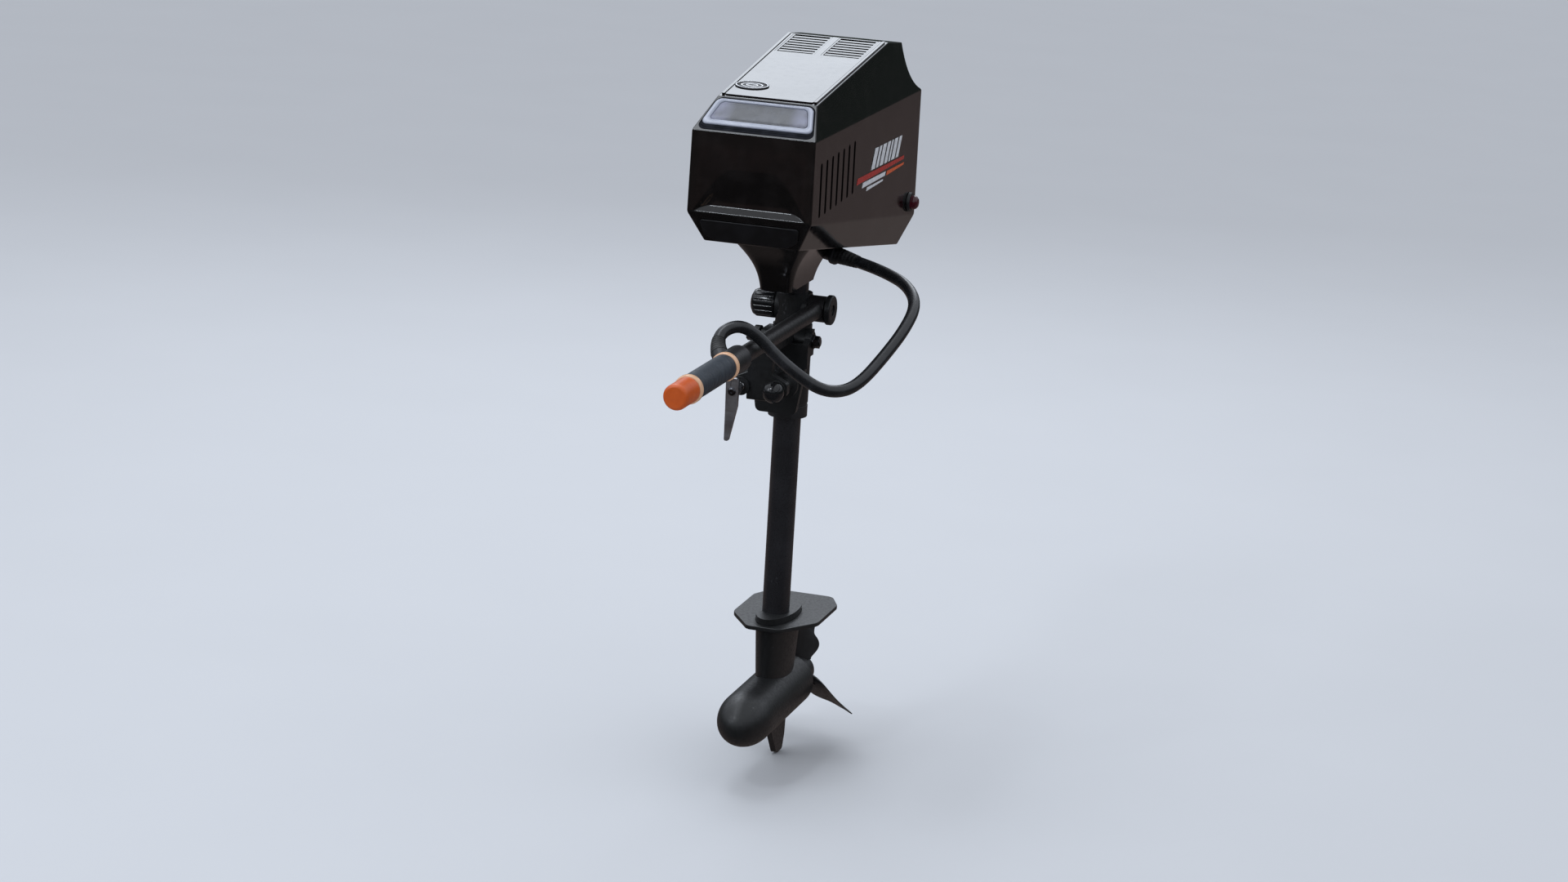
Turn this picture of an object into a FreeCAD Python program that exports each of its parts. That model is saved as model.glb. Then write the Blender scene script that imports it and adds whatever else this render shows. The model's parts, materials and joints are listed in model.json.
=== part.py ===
# Transom-mount electric trolling motor, in millimetres.
# Frame: origin on the transom's top edge, under the middle of the clamp bridge. +X port, +Y aft, +Z up.
import FreeCAD, Part
import math
import os

V = FreeCAD.Vector

# transom clamp
BRIDGE_HALF = 17.0          # half-width of the arm that hooks over the transom
BRIDGE_TOP = 12.0
AFT_PLATE = (20.0, 30.0)    # aft plate, front and back faces
AFT_PLATE_HALF = 41.0
AFT_PLATE_BOTTOM = -100.0
FRONT_LEG = (-62.0, -50.0)
SCREW_X = 25.0              # clamp screws stand this far each side of the centre
SCREW_Z = -48.0
SCREW_R = 6.0
SCREW_PITCH = 3.0
SCREW_END_R = 5.0           # the turned-down end of a clamp screw, which its handle is pressed on
SCREW_END_LENGTH = 7.0
PAD_FACE_Y = -20.0          # inner face of a 40 mm transom
BALL_Y = -78.0              # centre of the port screw's ball
BALL_R = 14.5
BALL_BACK_Y = -69.5         # flat on the back of the ball
PADDLE_Y = (-102.5, -96.5)  # the starboard paddle swings clear in front of the ball
PADDLE_HUB_Y = -84.0
PADDLE_HUB_R = 8.5
BOLT_HOLE_X = 22.0
BOLT_HOLE_Z = -60.0
BOLT_HOLE_R = 4.25

# tilt and steering
TILT_Y = 42.0
TILT_Z = 0.0
TILT_BOLT_R = 5.0
TILT_LUG_R = 10.0
EAR_IN = 33.0
TUBE_Y = 80.0
TUBE_R = 19.0
TUBE_WALL = 2.0
TUBE_END = -430.0
SWIVEL_TOP = 11.0
SWIVEL_BOTTOM = -95.0
SWIVEL_R = 27.0
BUSH_R = 22.5
RUN = 0.06                  # radial clearance of a running fit

# tiller
TILLER_X = 35.0
TILLER_Z = 38.0
TILLER_R = 11.5
EYE_HALF = 11.3
BOSS_R = 20.0
BOSS_FLAT_X = 23.3
KNOB_FLAT_X = -22.0
COLLAR_Y = (-322.0, -271.0)
RING_Y = (-471.0, -328.0)   # centres of the outer and the inner ring
GRIP_R = 17.0
RING_R = 18.6
CAP_END_Y = -524.0
SPINDLE_R = 9.0

# motor head: side outline, then widths
COWL_FRONT_Y = -150.0
COWL_REAR_Y = 360.0
BELLY_FRONT = (-133.0, 157.0)
BELLY_REAR = (352.0, 86.0)
LEDGE = (-151.0, 194.0)
BROW = (-150.0, 304.0)
WINDOW_TOP = (-98.0, 343.0)
ROOF_REAR = (216.0, 391.0)
TAIL_TOP = (282.0, 384.0)
TAIL_HOLLOW = (306.0, 338.0)
TAIL_CORNER = (358.0, 313.0)
TAIL_LOW = (361.0, 133.0)
COWL_HALF_FRONT = 85.0
COWL_HALF_REAR = 87.5
CREASE_FRONT = 302.0
CREASE_REAR = 308.0
COWL_WALL = 3.0
WINDOW_FRAME_Y = (12.0, 59.0)     # up the slope from the brow
WINDOW_OPENING_Y = (21.0, 54.5)
WINDOW_FRAME_HALF = (76.0, 65.5)  # half-widths of the frame at those two heights
WINDOW_OPENING_HALF = (67.0, 58.5)
COWL_STATIONS = [(-170.0, 0.50), (216.0, 0.175), (380.0, 0.16)]  # y, and the shoulder's inward lean there
SKIRT_X = 20.0              # how far the lower chamfer pulls the sides in
SKIRT_Z = 40.0
VENT_COUNT = 7
VENT_PITCH = 25.0
VENT_FIRST_Y = -117.0
VENT_Z = (200.0, 272.0)
VENT_WIDTH = 8.0
GRILLE_X = (4.5, 61.0)
GRILLE_Y = (120.0, 213.0)
SLAT_COUNT = 7
BUTTON_Y = 324.0
BUTTON_Z = 154.0
BUTTON_R = 10.0
NECK_BOTTOM = 75.0
INLET_X = -30.0
INLET_Y = 322.0
INLET_R = 8.0
INLET_DEPTH = 16.0

# motor, shafts and gears
MOTOR_R = 52.0
MOTOR_Z = (178.0, 312.0)
SHAFT_R = 5.0
PROP_Z = -520.0
PROP_SHAFT_R = 6.0
CONE_LENGTH = 30.0          # slant length of the bevel gears' pitch cones
FACE_WIDTH = 9.0
PINION_TEETH = 12
GEAR_TEETH = 24
POD_R = 38.0
POD_BORE_R = 31.5
POD_FRONT_Y = -30.0
POD_REAR_Y = 160.0
PROP_RADIUS = 100.0
HUB_R = 24.0
HUB_Y = (176.0, 226.0)
PLATE_Z = -408.0

# control cable: the points of its route, from the head's gland to the tiller collar
CABLE_R = 8.0
CABLE_ROUTE = [
    V(46, 124, 106), V(80, 112, 102), V(122, 90, 97), V(164, 56, 90), V(190, 12, 74), V(190, -42, 50),
    V(178, -96, 22), V(164, -148, -3), V(148, -178, -12), V(124, -198, -8), V(96, -212, 12),
    V(68, -222, 36), V(48, -232, 60), V(28, -248, 76), V(10, -264, 70), V(7, -280, 56), V(16, -294, 46),
]


def box(x, y, z):
    """A block from its low and high value along each axis."""
    return Part.makeBox(x[1] - x[0], y[1] - y[0], z[1] - z[0], V(x[0], y[0], z[0]))


def rod(start, end, radius):
    """A cylinder between two points."""
    start, end = V(*start), V(*end)
    return Part.makeCylinder(radius, start.distanceToPoint(end), start, end - start)


def cone(start, end, radius, end_radius):
    """A truncated cone between two points."""
    start, end = V(*start), V(*end)
    return Part.makeCone(radius, end_radius, start.distanceToPoint(end), start, end - start)


def tube(start, end, outer, inner):
    """A straight tube between two points."""
    return rod(start, end, outer).cut(rod(start, end, inner))


def upright(radius, z, y=TUBE_Y, x=0.0):
    """A vertical cylinder, on the steering axis unless told otherwise."""
    return rod((x, y, z[0]), (x, y, z[1]), radius)


def upright_tube(outer, inner, z, y=TUBE_Y, x=0.0):
    """A vertical tube, on the steering axis unless told otherwise."""
    return upright(outer, z, y, x).cut(upright(inner, z, y, x))


def rounded_face(points, radii):
    """A flat face whose corners are rounded by tangent arcs; a radius of 0 keeps a corner sharp."""
    count = len(points)
    edges = []
    ends = []
    for i, radius in enumerate(radii):
        corner = points[i]
        back = (points[i - 1] - corner).normalize()
        ahead = (points[(i + 1) % count] - corner).normalize()
        half = back.getAngle(ahead) / 2
        if radius == 0:
            ends.append((corner, corner))
            continue
        reach = radius / math.tan(half)
        middle = (back + ahead).normalize() * (radius / math.sin(half) - radius)
        ends.append((corner + back * reach, corner + ahead * reach))
        edges.append((i, Part.Arc(corner + back * reach, corner + middle, corner + ahead * reach).toShape()))
    arcs = dict(edges)
    path = []
    for i in range(count):
        if i in arcs:
            path.append(arcs[i])
        start, end = ends[i][1], ends[(i + 1) % count][0]
        if start.distanceToPoint(end) > 1e-6:
            path.append(Part.LineSegment(start, end).toShape())
    return Part.Face(Part.Wire(Part.__sortEdges__(path)))


def side_plate(outline, x, radius=0.0):
    """A plate across X from a (y, z) outline; radius is one value or one per corner."""
    radii = radius if isinstance(radius, list) else [radius] * len(outline)
    face = rounded_face([V(x[0], y, z) for y, z in outline], radii)
    return face.extrude(V(x[1] - x[0], 0, 0))


def flat_plate(outline, z, radius=0.0):
    """A plate across Z from an (x, y) outline."""
    radii = radius if isinstance(radius, list) else [radius] * len(outline)
    face = rounded_face([V(x, y, z[0]) for x, y in outline], radii)
    return face.extrude(V(0, 0, z[1] - z[0]))


def front_plate(outline, y, radius=0.0):
    """A plate across Y from an (x, z) outline."""
    radii = radius if isinstance(radius, list) else [radius] * len(outline)
    face = rounded_face([V(x, y[0], z) for x, z in outline], radii)
    return face.extrude(V(0, y[1] - y[0], 0))


def rectangle(low, high):
    """The four corners of a rectangle, in order round it."""
    return [(low[0], low[1]), (high[0], low[1]), (high[0], high[1]), (low[0], high[1])]


def mirrored(shape):
    """The same shape on the other side of the boat's centre line."""
    return shape.mirror(V(0, 0, 0), V(1, 0, 0))


def hexagon(centre, direction, across, height):
    """A hexagonal prism, for nuts and bolt heads."""
    points = []
    for i in range(7):
        angle = math.radians(60 * i)
        points.append(V(math.cos(angle), math.sin(angle), 0) * (across / math.sqrt(3)))
    prism = Part.Face(Part.makePolygon(points)).extrude(V(0, 0, height))
    prism.Placement = FreeCAD.Placement(V(*centre), FreeCAD.Rotation(V(0, 0, 1), V(*direction)))
    return prism


def spun(profile, start, direction):
    """A solid of revolution from (distance along, radius) points, about an axis through start."""
    points = [V(radius, 0, along) for along, radius in profile]
    face = Part.Face(Part.makePolygon(points + [points[0]]))
    solid = face.revolve(V(0, 0, 0), V(0, 0, 1), 360)
    solid.Placement = FreeCAD.Placement(V(*start), FreeCAD.Rotation(V(0, 0, 1), V(*direction)))
    return solid


def save(name, *shapes):
    """Write one sub-part, as one solid or as a group of separate ones."""
    solids = [solid for shape in shapes for solid in shape.Solids]
    part = solids[0] if len(solids) == 1 else Part.makeCompound(solids)
    part.exportStep("parts/" + name + ".step")
    valid = all(solid.isValid() for solid in solids)
    print(f"{name}: {len(solids)} solid(s), {part.Volume / 1000:.2f} cm3, valid {valid}")


# ---------------------------------------------------------------- transom clamp

def clamp_bracket():
    """The casting that hooks over the transom: bridge, front leg with two bosses, aft plate and ears."""
    arm = side_plate(
        [(AFT_PLATE[1], -20), (AFT_PLATE[1], BRIDGE_TOP), (FRONT_LEG[0], BRIDGE_TOP), (FRONT_LEG[0], -66),
         (FRONT_LEG[1], -66), (FRONT_LEG[1], 0), (AFT_PLATE[0], 0), (AFT_PLATE[0], -20)],
        (-BRIDGE_HALF, BRIDGE_HALF), [0, 5, 12, 4, 4, 3, 0, 0])
    aft = front_plate(
        [(-AFT_PLATE_HALF, -20), (-28, AFT_PLATE_BOTTOM), (28, AFT_PLATE_BOTTOM), (AFT_PLATE_HALF, -20),
         (AFT_PLATE_HALF, -1), (-AFT_PLATE_HALF, -1)], AFT_PLATE, [10, 8, 8, 10, 3, 3])
    yoke = front_plate(
        [(-39, SCREW_Z - 9), (39, SCREW_Z - 9), (39, SCREW_Z + 9), (16, -28), (-16, -28), (-39, SCREW_Z + 9)],
        FRONT_LEG, [6, 6, 6, 0, 0, 6])
    body = arm.fuse([aft, yoke])
    for side in (-1, 1):
        x = sorted((side * EAR_IN, side * AFT_PLATE_HALF))
        ear = side_plate([(AFT_PLATE[0], -34), (TILT_Y, -14), (TILT_Y, 14), (AFT_PLATE[0], -1)], x)
        eye = rod((x[0], TILT_Y, TILT_Z), (x[1], TILT_Y, TILT_Z), 14)
        boss = rod((side * SCREW_X, FRONT_LEG[0] - 4, SCREW_Z), (side * SCREW_X, -46, SCREW_Z), 12.5)
        body = body.fuse([ear, eye, boss])
    for side in (-1, 1):
        screw_x, bolt_x = side * SCREW_X, side * BOLT_HOLE_X
        body = body.cut(rod((screw_x, -80, SCREW_Z), (screw_x, -30, SCREW_Z), SCREW_R + RUN))
        body = body.cut(rod((bolt_x, 10, BOLT_HOLE_Z), (bolt_x, 40, BOLT_HOLE_Z), BOLT_HOLE_R))
    return body.cut(rod((-50, TILT_Y, TILT_Z), (50, TILT_Y, TILT_Z), TILT_BOLT_R)).removeSplitter()


def thrust_stop():
    """The rubber block on the aft plate that the swivel bracket rests against when it is upright."""
    return box((-12, 12), (AFT_PLATE[1], 44.5), (-93, -77))


def on_screw(side, y):
    """A point on the axis of one clamp screw; side is -1 to starboard and 1 to port."""
    return (side * SCREW_X, y, SCREW_Z)


def clamp_screw(side, end_y):
    """One clamp screw: ridged shank through the bracket's boss, and a flat button that turns in its pad."""
    shoulder = end_y + SCREW_END_LENGTH
    profile = [(end_y, 0), (end_y, SCREW_END_R), (shoulder, SCREW_END_R), (shoulder, SCREW_R)]
    ridges = 11
    for i in range(ridges):
        start = -70.0 + i * SCREW_PITCH
        profile += [(start, SCREW_R), (start + 0.5 * SCREW_PITCH, SCREW_R - 1.0), (start + SCREW_PITCH, SCREW_R)]
    profile += [(-34.0, 4.0), (-31.0, 4.0), (-31.0, 7.0), (-27.0, 7.0), (-27.0, 0)]
    return spun(profile, on_screw(side, 0), (0, 1, 0))


def clamp_pad(side):
    """The swivelling pad on the end of a clamp screw, with the socket that holds the screw's button."""
    profile = [(PAD_FACE_Y, 0), (PAD_FACE_Y, 17), (-22, 18), (-26, 18), (-28, 11), (-33.5, 10), (-33.5, 4.4),
               (-31.4, 4.4), (-31.4, 7.4), (-26.6, 7.4), (-26.6, 0)]
    return spun(profile, on_screw(side, 0), (0, 1, 0))


def handle_bore(side, end_y):
    """The stepped hole in a handle that takes the end of its clamp screw."""
    back = on_screw(side, FRONT_LEG[0])
    narrow = rod(on_screw(side, end_y), back, SCREW_END_R)
    return narrow.fuse(rod(on_screw(side, end_y + SCREW_END_LENGTH), back, SCREW_R))


def clamp_lever():
    """The long paddle on the starboard clamp screw."""
    x = -SCREW_X
    outline = [(x - 9, -30), (x - 8, SCREW_Z - 24), (x - 7.5, -116), (x - 1.5, -116), (x + 8.5, SCREW_Z - 20),
               (x + 9, -30)]
    paddle = front_plate(outline, PADDLE_Y, [5, 0, 2.5, 2.5, 0, 5])
    hub = rod(on_screw(-1, PADDLE_Y[1] - 0.5), on_screw(-1, PADDLE_HUB_Y), PADDLE_HUB_R)
    groove = front_plate(rectangle((x - 2.5, -45), (x + 2.5, -33)), (PADDLE_Y[0] - 0.5, PADDLE_Y[0] + 1.5), 2.2)
    return paddle.fuse(hub).cut([groove, handle_bore(-1, PADDLE_Y[0] + 1.5)]).removeSplitter()


def lever_screw():
    """The button-head screw that holds the paddle on its clamp screw."""
    head = spun([(0, 0), (0, 5.6), (1.4, 5.2), (2.6, 3.4), (2.6, 0)], on_screw(-1, PADDLE_Y[0]), (0, -1, 0))
    return head.cut(hexagon(on_screw(-1, PADDLE_Y[0] - 1.1), (0, -1, 0), 3.0, 3.0))


def ball_knob():
    """The ball on the port clamp screw."""
    ball = Part.makeSphere(BALL_R, V(*on_screw(1, BALL_Y)))
    back = box((0, 60), (BALL_BACK_Y, -50), (-80, -10))
    return ball.cut([back, handle_bore(1, BALL_Y - 2)])


def build_clamp():
    """Everything that stays on the transom, and the two clamp screws."""
    save("clamp_bracket", clamp_bracket())
    save("thrust_stop", thrust_stop())
    shank = rod((-46, TILT_Y, TILT_Z), (52, TILT_Y, TILT_Z), TILT_BOLT_R - 0.01)
    bolt = shank.fuse(hexagon((-46, TILT_Y, TILT_Z), (-1, 0, 0), 15.0, 5.5))
    washers = [tube((42.5 * side - 1.2, TILT_Y, TILT_Z), (42.5 * side + 1.2, TILT_Y, TILT_Z), 9.5, TILT_BOLT_R)
               for side in (-1, 1)]
    nut = hexagon((43.7, TILT_Y, TILT_Z), (1, 0, 0), 15.0, 7.0)
    nut = nut.cut(rod((40, TILT_Y, TILT_Z), (60, TILT_Y, TILT_Z), TILT_BOLT_R))
    save("tilt_bolt", bolt)
    save("tilt_nut_and_washers", nut, *washers)
    for name, side, end_y in (("starboard", -1, PADDLE_Y[0] + 1.5), ("port", 1, BALL_Y - 2)):
        save("clamp_screw_" + name, clamp_screw(side, end_y))
        save("clamp_pad_" + name, clamp_pad(side))
    save("clamp_lever", clamp_lever(), lever_screw())
    save("ball_knob", ball_knob())


# ---------------------------------------------------------------- swivel bracket

def build_swivel():
    """The bracket that tilts on the bolt and carries the steering tube in two bushes."""
    sleeve = upright(SWIVEL_R, (SWIVEL_BOTTOM, SWIVEL_TOP))
    lug_x = (-EAR_IN + 0.6, EAR_IN - 0.6)
    outline = [(TILT_Y, -TILT_LUG_R), (66, -26), (TUBE_Y, -26), (TUBE_Y, TILT_LUG_R), (TILT_Y, TILT_LUG_R)]
    lug = side_plate(outline, lug_x)
    lug = lug.fuse(rod((lug_x[0], TILT_Y, TILT_Z), (lug_x[1], TILT_Y, TILT_Z), TILT_LUG_R))
    lug = lug.common(box(lug_x, (TILT_Y - 20, TUBE_Y - 2), (-60, 40)))
    rib = box((-7, 7), (45.0, 62.0), (-93.0, -8.0))
    bracket = sleeve.fuse([lug, rib]).cut(upright(BUSH_R, (-120, 40)))
    bracket = bracket.cut(rod((-50, TILT_Y, TILT_Z), (50, TILT_Y, TILT_Z), TILT_BOLT_R + RUN))
    save("swivel_bracket", bracket.removeSplitter())
    upper = upright_tube(BUSH_R, TUBE_R + RUN, (-16, SWIVEL_TOP))
    upper_flange = upright_tube(SWIVEL_R, TUBE_R + RUN, (SWIVEL_TOP, 14.0))
    lower = upright_tube(BUSH_R, TUBE_R + RUN, (SWIVEL_BOTTOM, -70))
    lower_flange = upright_tube(SWIVEL_R - 1, TUBE_R + RUN, (SWIVEL_BOTTOM - 3, SWIVEL_BOTTOM))
    save("steering_bushes", upper.fuse(upper_flange).removeSplitter(), lower.fuse(lower_flange).removeSplitter())


# ---------------------------------------------------------------- tube, cross boss and tiller

def cross_boss():
    """The split collar on the tube, with a stud to port for the tiller and one to starboard for its knob."""
    collar = upright(25.0, (14.4, 58.0))
    barrel = rod((KNOB_FLAT_X, TUBE_Y, TILLER_Z), (0, TUBE_Y, TILLER_Z), BOSS_R)
    port_barrel = rod((0, TUBE_Y, TILLER_Z), (BOSS_FLAT_X, TUBE_Y, TILLER_Z), BOSS_R)
    boss = collar.fuse([barrel, port_barrel]).common(box((KNOB_FLAT_X, BOSS_FLAT_X), (40, 120), (0, 80)))
    stud = rod((20, TUBE_Y, TILLER_Z), (47.2, TUBE_Y, TILLER_Z), 8.0)
    knob_stud = rod((-50, TUBE_Y, TILLER_Z), (-10, TUBE_Y, TILLER_Z), 6.0)
    boss = boss.fuse([stud, knob_stud]).cut(upright(TUBE_R, (0, 80)))
    return boss.cut(box((-1, 1), (TUBE_Y + 10, TUBE_Y + 40), (0, 80))).removeSplitter()


def tension_knob():
    """The ribbed knob that draws the split collar tight on the tube."""
    profile = [(0, 0), (0, 17.5), (3, 19.5), (28, 19.5), (33, 17.0), (36, 12.0), (36, 0)]
    knob = spun(profile, (KNOB_FLAT_X - 0.4, TUBE_Y, TILLER_Z), (-1, 0, 0))
    ribs = 18
    for i in range(ribs):
        angle = 2 * math.pi * i / ribs
        y, z = TUBE_Y + 20.5 * math.cos(angle), TILLER_Z + 20.5 * math.sin(angle)
        knob = knob.cut(rod((-54, y, z), (-26, y, z), 2.2))
    return knob.cut(rod((-50.5, TUBE_Y, TILLER_Z), (0, TUBE_Y, TILLER_Z), 6.0 + RUN))


def tiller_arm():
    """The tiller tube, its eye on the cross boss and the spindle that the grip turns on."""
    eye = rod((TILLER_X - EYE_HALF, TUBE_Y, TILLER_Z), (TILLER_X + EYE_HALF, TUBE_Y, TILLER_Z), 18.0)
    arm = rod((TILLER_X, TUBE_Y, TILLER_Z), (TILLER_X, COLLAR_Y[0], TILLER_Z), TILLER_R)
    spindle = rod((TILLER_X, COLLAR_Y[0], TILLER_Z), (TILLER_X, CAP_END_Y + 12, TILLER_Z), SPINDLE_R)
    bore = rod((TILLER_X, 50, TILLER_Z), (TILLER_X, CAP_END_Y, TILLER_Z), 6.0)
    pivot = rod((0, TUBE_Y, TILLER_Z), (60, TUBE_Y, TILLER_Z), 8.0 + RUN)
    return eye.fuse([arm, spindle]).cut(bore).cut(pivot).removeSplitter()


def along_tiller(y):
    """A point on the tiller's axis."""
    return (TILLER_X, y, TILLER_Z)


def grip_ring(y):
    """One of the two coloured rings at the ends of the grip."""
    profile = [(-5, SPINDLE_R + RUN), (-5, RING_R - 1.5), (-3, RING_R), (3, RING_R), (5, RING_R - 1.5),
               (5, SPINDLE_R + RUN)]
    return spun(profile, along_tiller(y), (0, -1, 0))


def build_tiller(cable):
    """The tiller, its collar and sensor, and the twist grip with its rings and end cap."""
    save("cross_boss", cross_boss())
    save("tension_knob", tension_knob())
    profile = [(0, 0), (0, 19), (1.5, 20.5), (7.5, 20.5), (9, 19), (9, 0)]
    cap = spun(profile, (47.3, TUBE_Y, TILLER_Z), (1, 0, 0))
    cap = cap.cut(rod((50.3, TUBE_Y, TILLER_Z), (60, TUBE_Y, TILLER_Z), 7.5))
    screw = rod((50.3, TUBE_Y, TILLER_Z), (54.3, TUBE_Y, TILLER_Z), 6.5)
    save("pivot_cap", cap, screw.cut(hexagon((52.0, TUBE_Y, TILLER_Z), (1, 0, 0), 6.0, 4.0)))
    save("tiller_arm", tiller_arm())
    length = COLLAR_Y[1] - COLLAR_Y[0]
    profile = [(0, TILLER_R), (0, 15.0), (3, 17.5), (length - 2, 17.5), (length, 16.0), (length, TILLER_R)]
    collar = spun(profile, along_tiller(COLLAR_Y[1]), (0, -1, 0))
    gland = collar_gland().cut(rod(along_tiller(-200), along_tiller(-400), TILLER_R))
    save("tiller_collar", collar.fuse(gland).removeSplitter().cut(cable))
    inner_end, outer_end = RING_Y[1] - 5, RING_Y[0] + 5
    save("grip_sleeve", grip_sleeve(inner_end - 0.05, outer_end + 0.05))
    save("grip_rings", grip_ring(RING_Y[0]), grip_ring(RING_Y[1]))
    cap_start = RING_Y[0] - 5
    depth = cap_start - CAP_END_Y
    profile = [(0, SPINDLE_R + RUN), (0, 16.5), (depth - 5, 16.5), (depth - 1.5, 15), (depth, 12), (depth, 0),
               (depth - 8, 0), (depth - 8, SPINDLE_R + RUN)]
    end_cap = spun(profile, along_tiller(cap_start), (0, -1, 0))
    throttle_rod = rod(along_tiller(CAP_END_Y + 4), along_tiller(-300), 3.0)
    save("grip_end_cap", end_cap.fuse(throttle_rod).removeSplitter())
    save("throttle_sensor", rod(along_tiller(-299.5), along_tiller(-278), 5.9))


def collar_gland():
    """The angled boss on the collar where the control cable goes in."""
    end = CABLE_ROUTE[-1]
    ahead = (end - CABLE_ROUTE[-2]).normalize()
    return Part.makeCylinder(CABLE_R + 3, 14, end, ahead)


def grip_sleeve(inner_y, outer_y):
    """The rubber grip, with shallow grooves round it."""
    profile = [(-inner_y, SPINDLE_R + RUN), (-inner_y, GRIP_R - 0.6)]
    groove_count = 9
    step = (inner_y - outer_y) / groove_count
    for i in range(groove_count):
        start = -inner_y + i * step
        profile += [(start + 1.2, GRIP_R), (start + step - 1.2, GRIP_R), (start + step, GRIP_R - 0.6)]
    profile += [(-outer_y, SPINDLE_R + RUN)]
    return spun(profile, (TILLER_X, 0, TILLER_Z), (0, -1, 0))


# ---------------------------------------------------------------- control cable

def cable_path(points):
    """Straight runs joined by tangent arcs, each arc as large as its two runs allow."""
    edges = []
    start = points[0]
    for i in range(1, len(points) - 1):
        back = points[i - 1] - points[i]
        ahead = points[i + 1] - points[i]
        shorter = min(back.Length, ahead.Length)
        turn = math.pi - back.getAngle(ahead)
        reach = 0.45 * shorter
        radius = reach / math.tan(turn / 2)
        back.normalize()
        ahead.normalize()
        leave = points[i] + back * reach
        join = points[i] + ahead * reach
        inwards = (back + ahead).normalize()
        middle = points[i] + inwards * (radius / math.cos(turn / 2) - radius)
        edges.append(Part.LineSegment(start, leave).toShape())
        edges.append(Part.Arc(leave, middle, join).toShape())
        start = join
    edges.append(Part.LineSegment(start, points[-1]).toShape())
    return Part.Wire(edges)


def swept(points, radius):
    """A round cable along a route."""
    section = Part.Wire(Part.Circle(points[0], points[1] - points[0], radius).toShape())
    return cable_path(points).makePipeShell([section], True, True)


# ---------------------------------------------------------------- motor head

def cowl_outline(grow):
    """The head seen from the side, grown outwards or shrunk, as a flat face across X."""
    corners = [BELLY_FRONT, LEDGE, BROW, WINDOW_TOP, ROOF_REAR, TAIL_TOP]
    points = [V(0, y, z) for y, z in corners]
    edges = [Part.LineSegment(a, b).toShape() for a, b in zip(points, points[1:])]
    low, rear = V(0, *TAIL_LOW), V(0, *BELLY_REAR)
    corner = V(0, *TAIL_CORNER)
    edges.append(Part.Arc(points[-1], V(0, *TAIL_HOLLOW), corner).toShape())
    edges.append(Part.LineSegment(corner, low).toShape())
    edges.append(Part.LineSegment(low, rear).toShape())
    edges.append(Part.LineSegment(rear, points[0]).toShape())
    face = Part.Face(Part.Wire(edges))
    return face.makeOffset2D(grow) if grow else face


def belly_z(y):
    """Height of the head's underside at y."""
    slope = (BELLY_REAR[1] - BELLY_FRONT[1]) / (BELLY_REAR[0] - BELLY_FRONT[0])
    return BELLY_FRONT[1] + slope * (y - BELLY_FRONT[0])


def cowl_section(y, lean, grow):
    """The head's cross-section at y: skirt, flat side, then a shoulder that leans in towards the roof."""
    share = (y - COWL_FRONT_Y) / (COWL_REAR_Y - COWL_FRONT_Y)
    side = COWL_HALF_FRONT + share * (COWL_HALF_REAR - COWL_HALF_FRONT) + grow
    crease = CREASE_FRONT + share * (CREASE_REAR - CREASE_FRONT)
    floor = belly_z(y)
    roof = 420.0
    half = [(side - 2 * SKIRT_X, floor - SKIRT_Z), (side - SKIRT_X, floor), (side, floor + SKIRT_Z),
            (side, crease), (side - lean * (roof - crease), roof)]
    ring = [V(x, y, z) for x, z in half] + [V(-x, y, z) for x, z in reversed(half)]
    return Part.makePolygon(ring + ring[:1])


def cowl_solid(grow=0.0):
    """The whole head as a solid: its cross-sections, lofted and trimmed to the side outline."""
    body = Part.makeLoft([cowl_section(y, lean, grow) for y, lean in COWL_STATIONS], True, True)
    outline = cowl_outline(grow)
    outline.translate(V(-120, 0, 0))
    return body.common(outline.extrude(V(240, 0, 0)))


def roof_z(y):
    """Height of the head's roof at y."""
    slope = (ROOF_REAR[1] - WINDOW_TOP[1]) / (ROOF_REAR[0] - WINDOW_TOP[0])
    return WINDOW_TOP[1] + slope * (y - WINDOW_TOP[0])


def on_roof(shape):
    """Move a shape drawn on the plane Z=0 up to the sloping roof; its y is measured along the boat."""
    angle = math.degrees(math.atan2(ROOF_REAR[1] - WINDOW_TOP[1], ROOF_REAR[0] - WINDOW_TOP[0]))
    shape.Placement = FreeCAD.Placement(V(0, 0, roof_z(0)), FreeCAD.Rotation(V(1, 0, 0), angle))
    return shape


def on_window(shape):
    """Move a shape drawn on Z=0 to the sloping window face; its y runs up the slope from the brow."""
    angle = math.degrees(math.atan2(WINDOW_TOP[1] - BROW[1], WINDOW_TOP[0] - BROW[0]))
    shape.Placement = FreeCAD.Placement(V(0, *BROW), FreeCAD.Rotation(V(1, 0, 0), angle))
    return shape


def on_belly(shape):
    """Move a shape drawn on Z=0 to the head's sloping underside."""
    angle = math.degrees(math.atan2(BELLY_REAR[1] - BELLY_FRONT[1], BELLY_REAR[0] - BELLY_FRONT[0]))
    shape.Placement = FreeCAD.Placement(V(0, 0, belly_z(0)), FreeCAD.Rotation(V(1, 0, 0), angle))
    return shape


def trapezoid(y, low_half, high_half):
    """A four-sided outline across X = 0, from its two y values and its half-widths there."""
    return [(-low_half, y[0]), (low_half, y[0]), (high_half, y[1]), (-high_half, y[1])]


def pan_outline(gap):
    """The hole in the bottom of the upper cowl, or with a gap the pan that fits it."""
    return trapezoid((BELLY_FRONT[0] + 8 + gap, BELLY_REAR[0] + 2 - gap), 60.0 - gap, 61.0 - gap)


def roof_opening(x_low, x_high):
    """One of the two rectangular openings for the roof grilles."""
    return on_roof(flat_plate(rectangle((x_low, GRILLE_Y[0]), (x_high, GRILLE_Y[1])), (-12, 12), 3.0))


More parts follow.
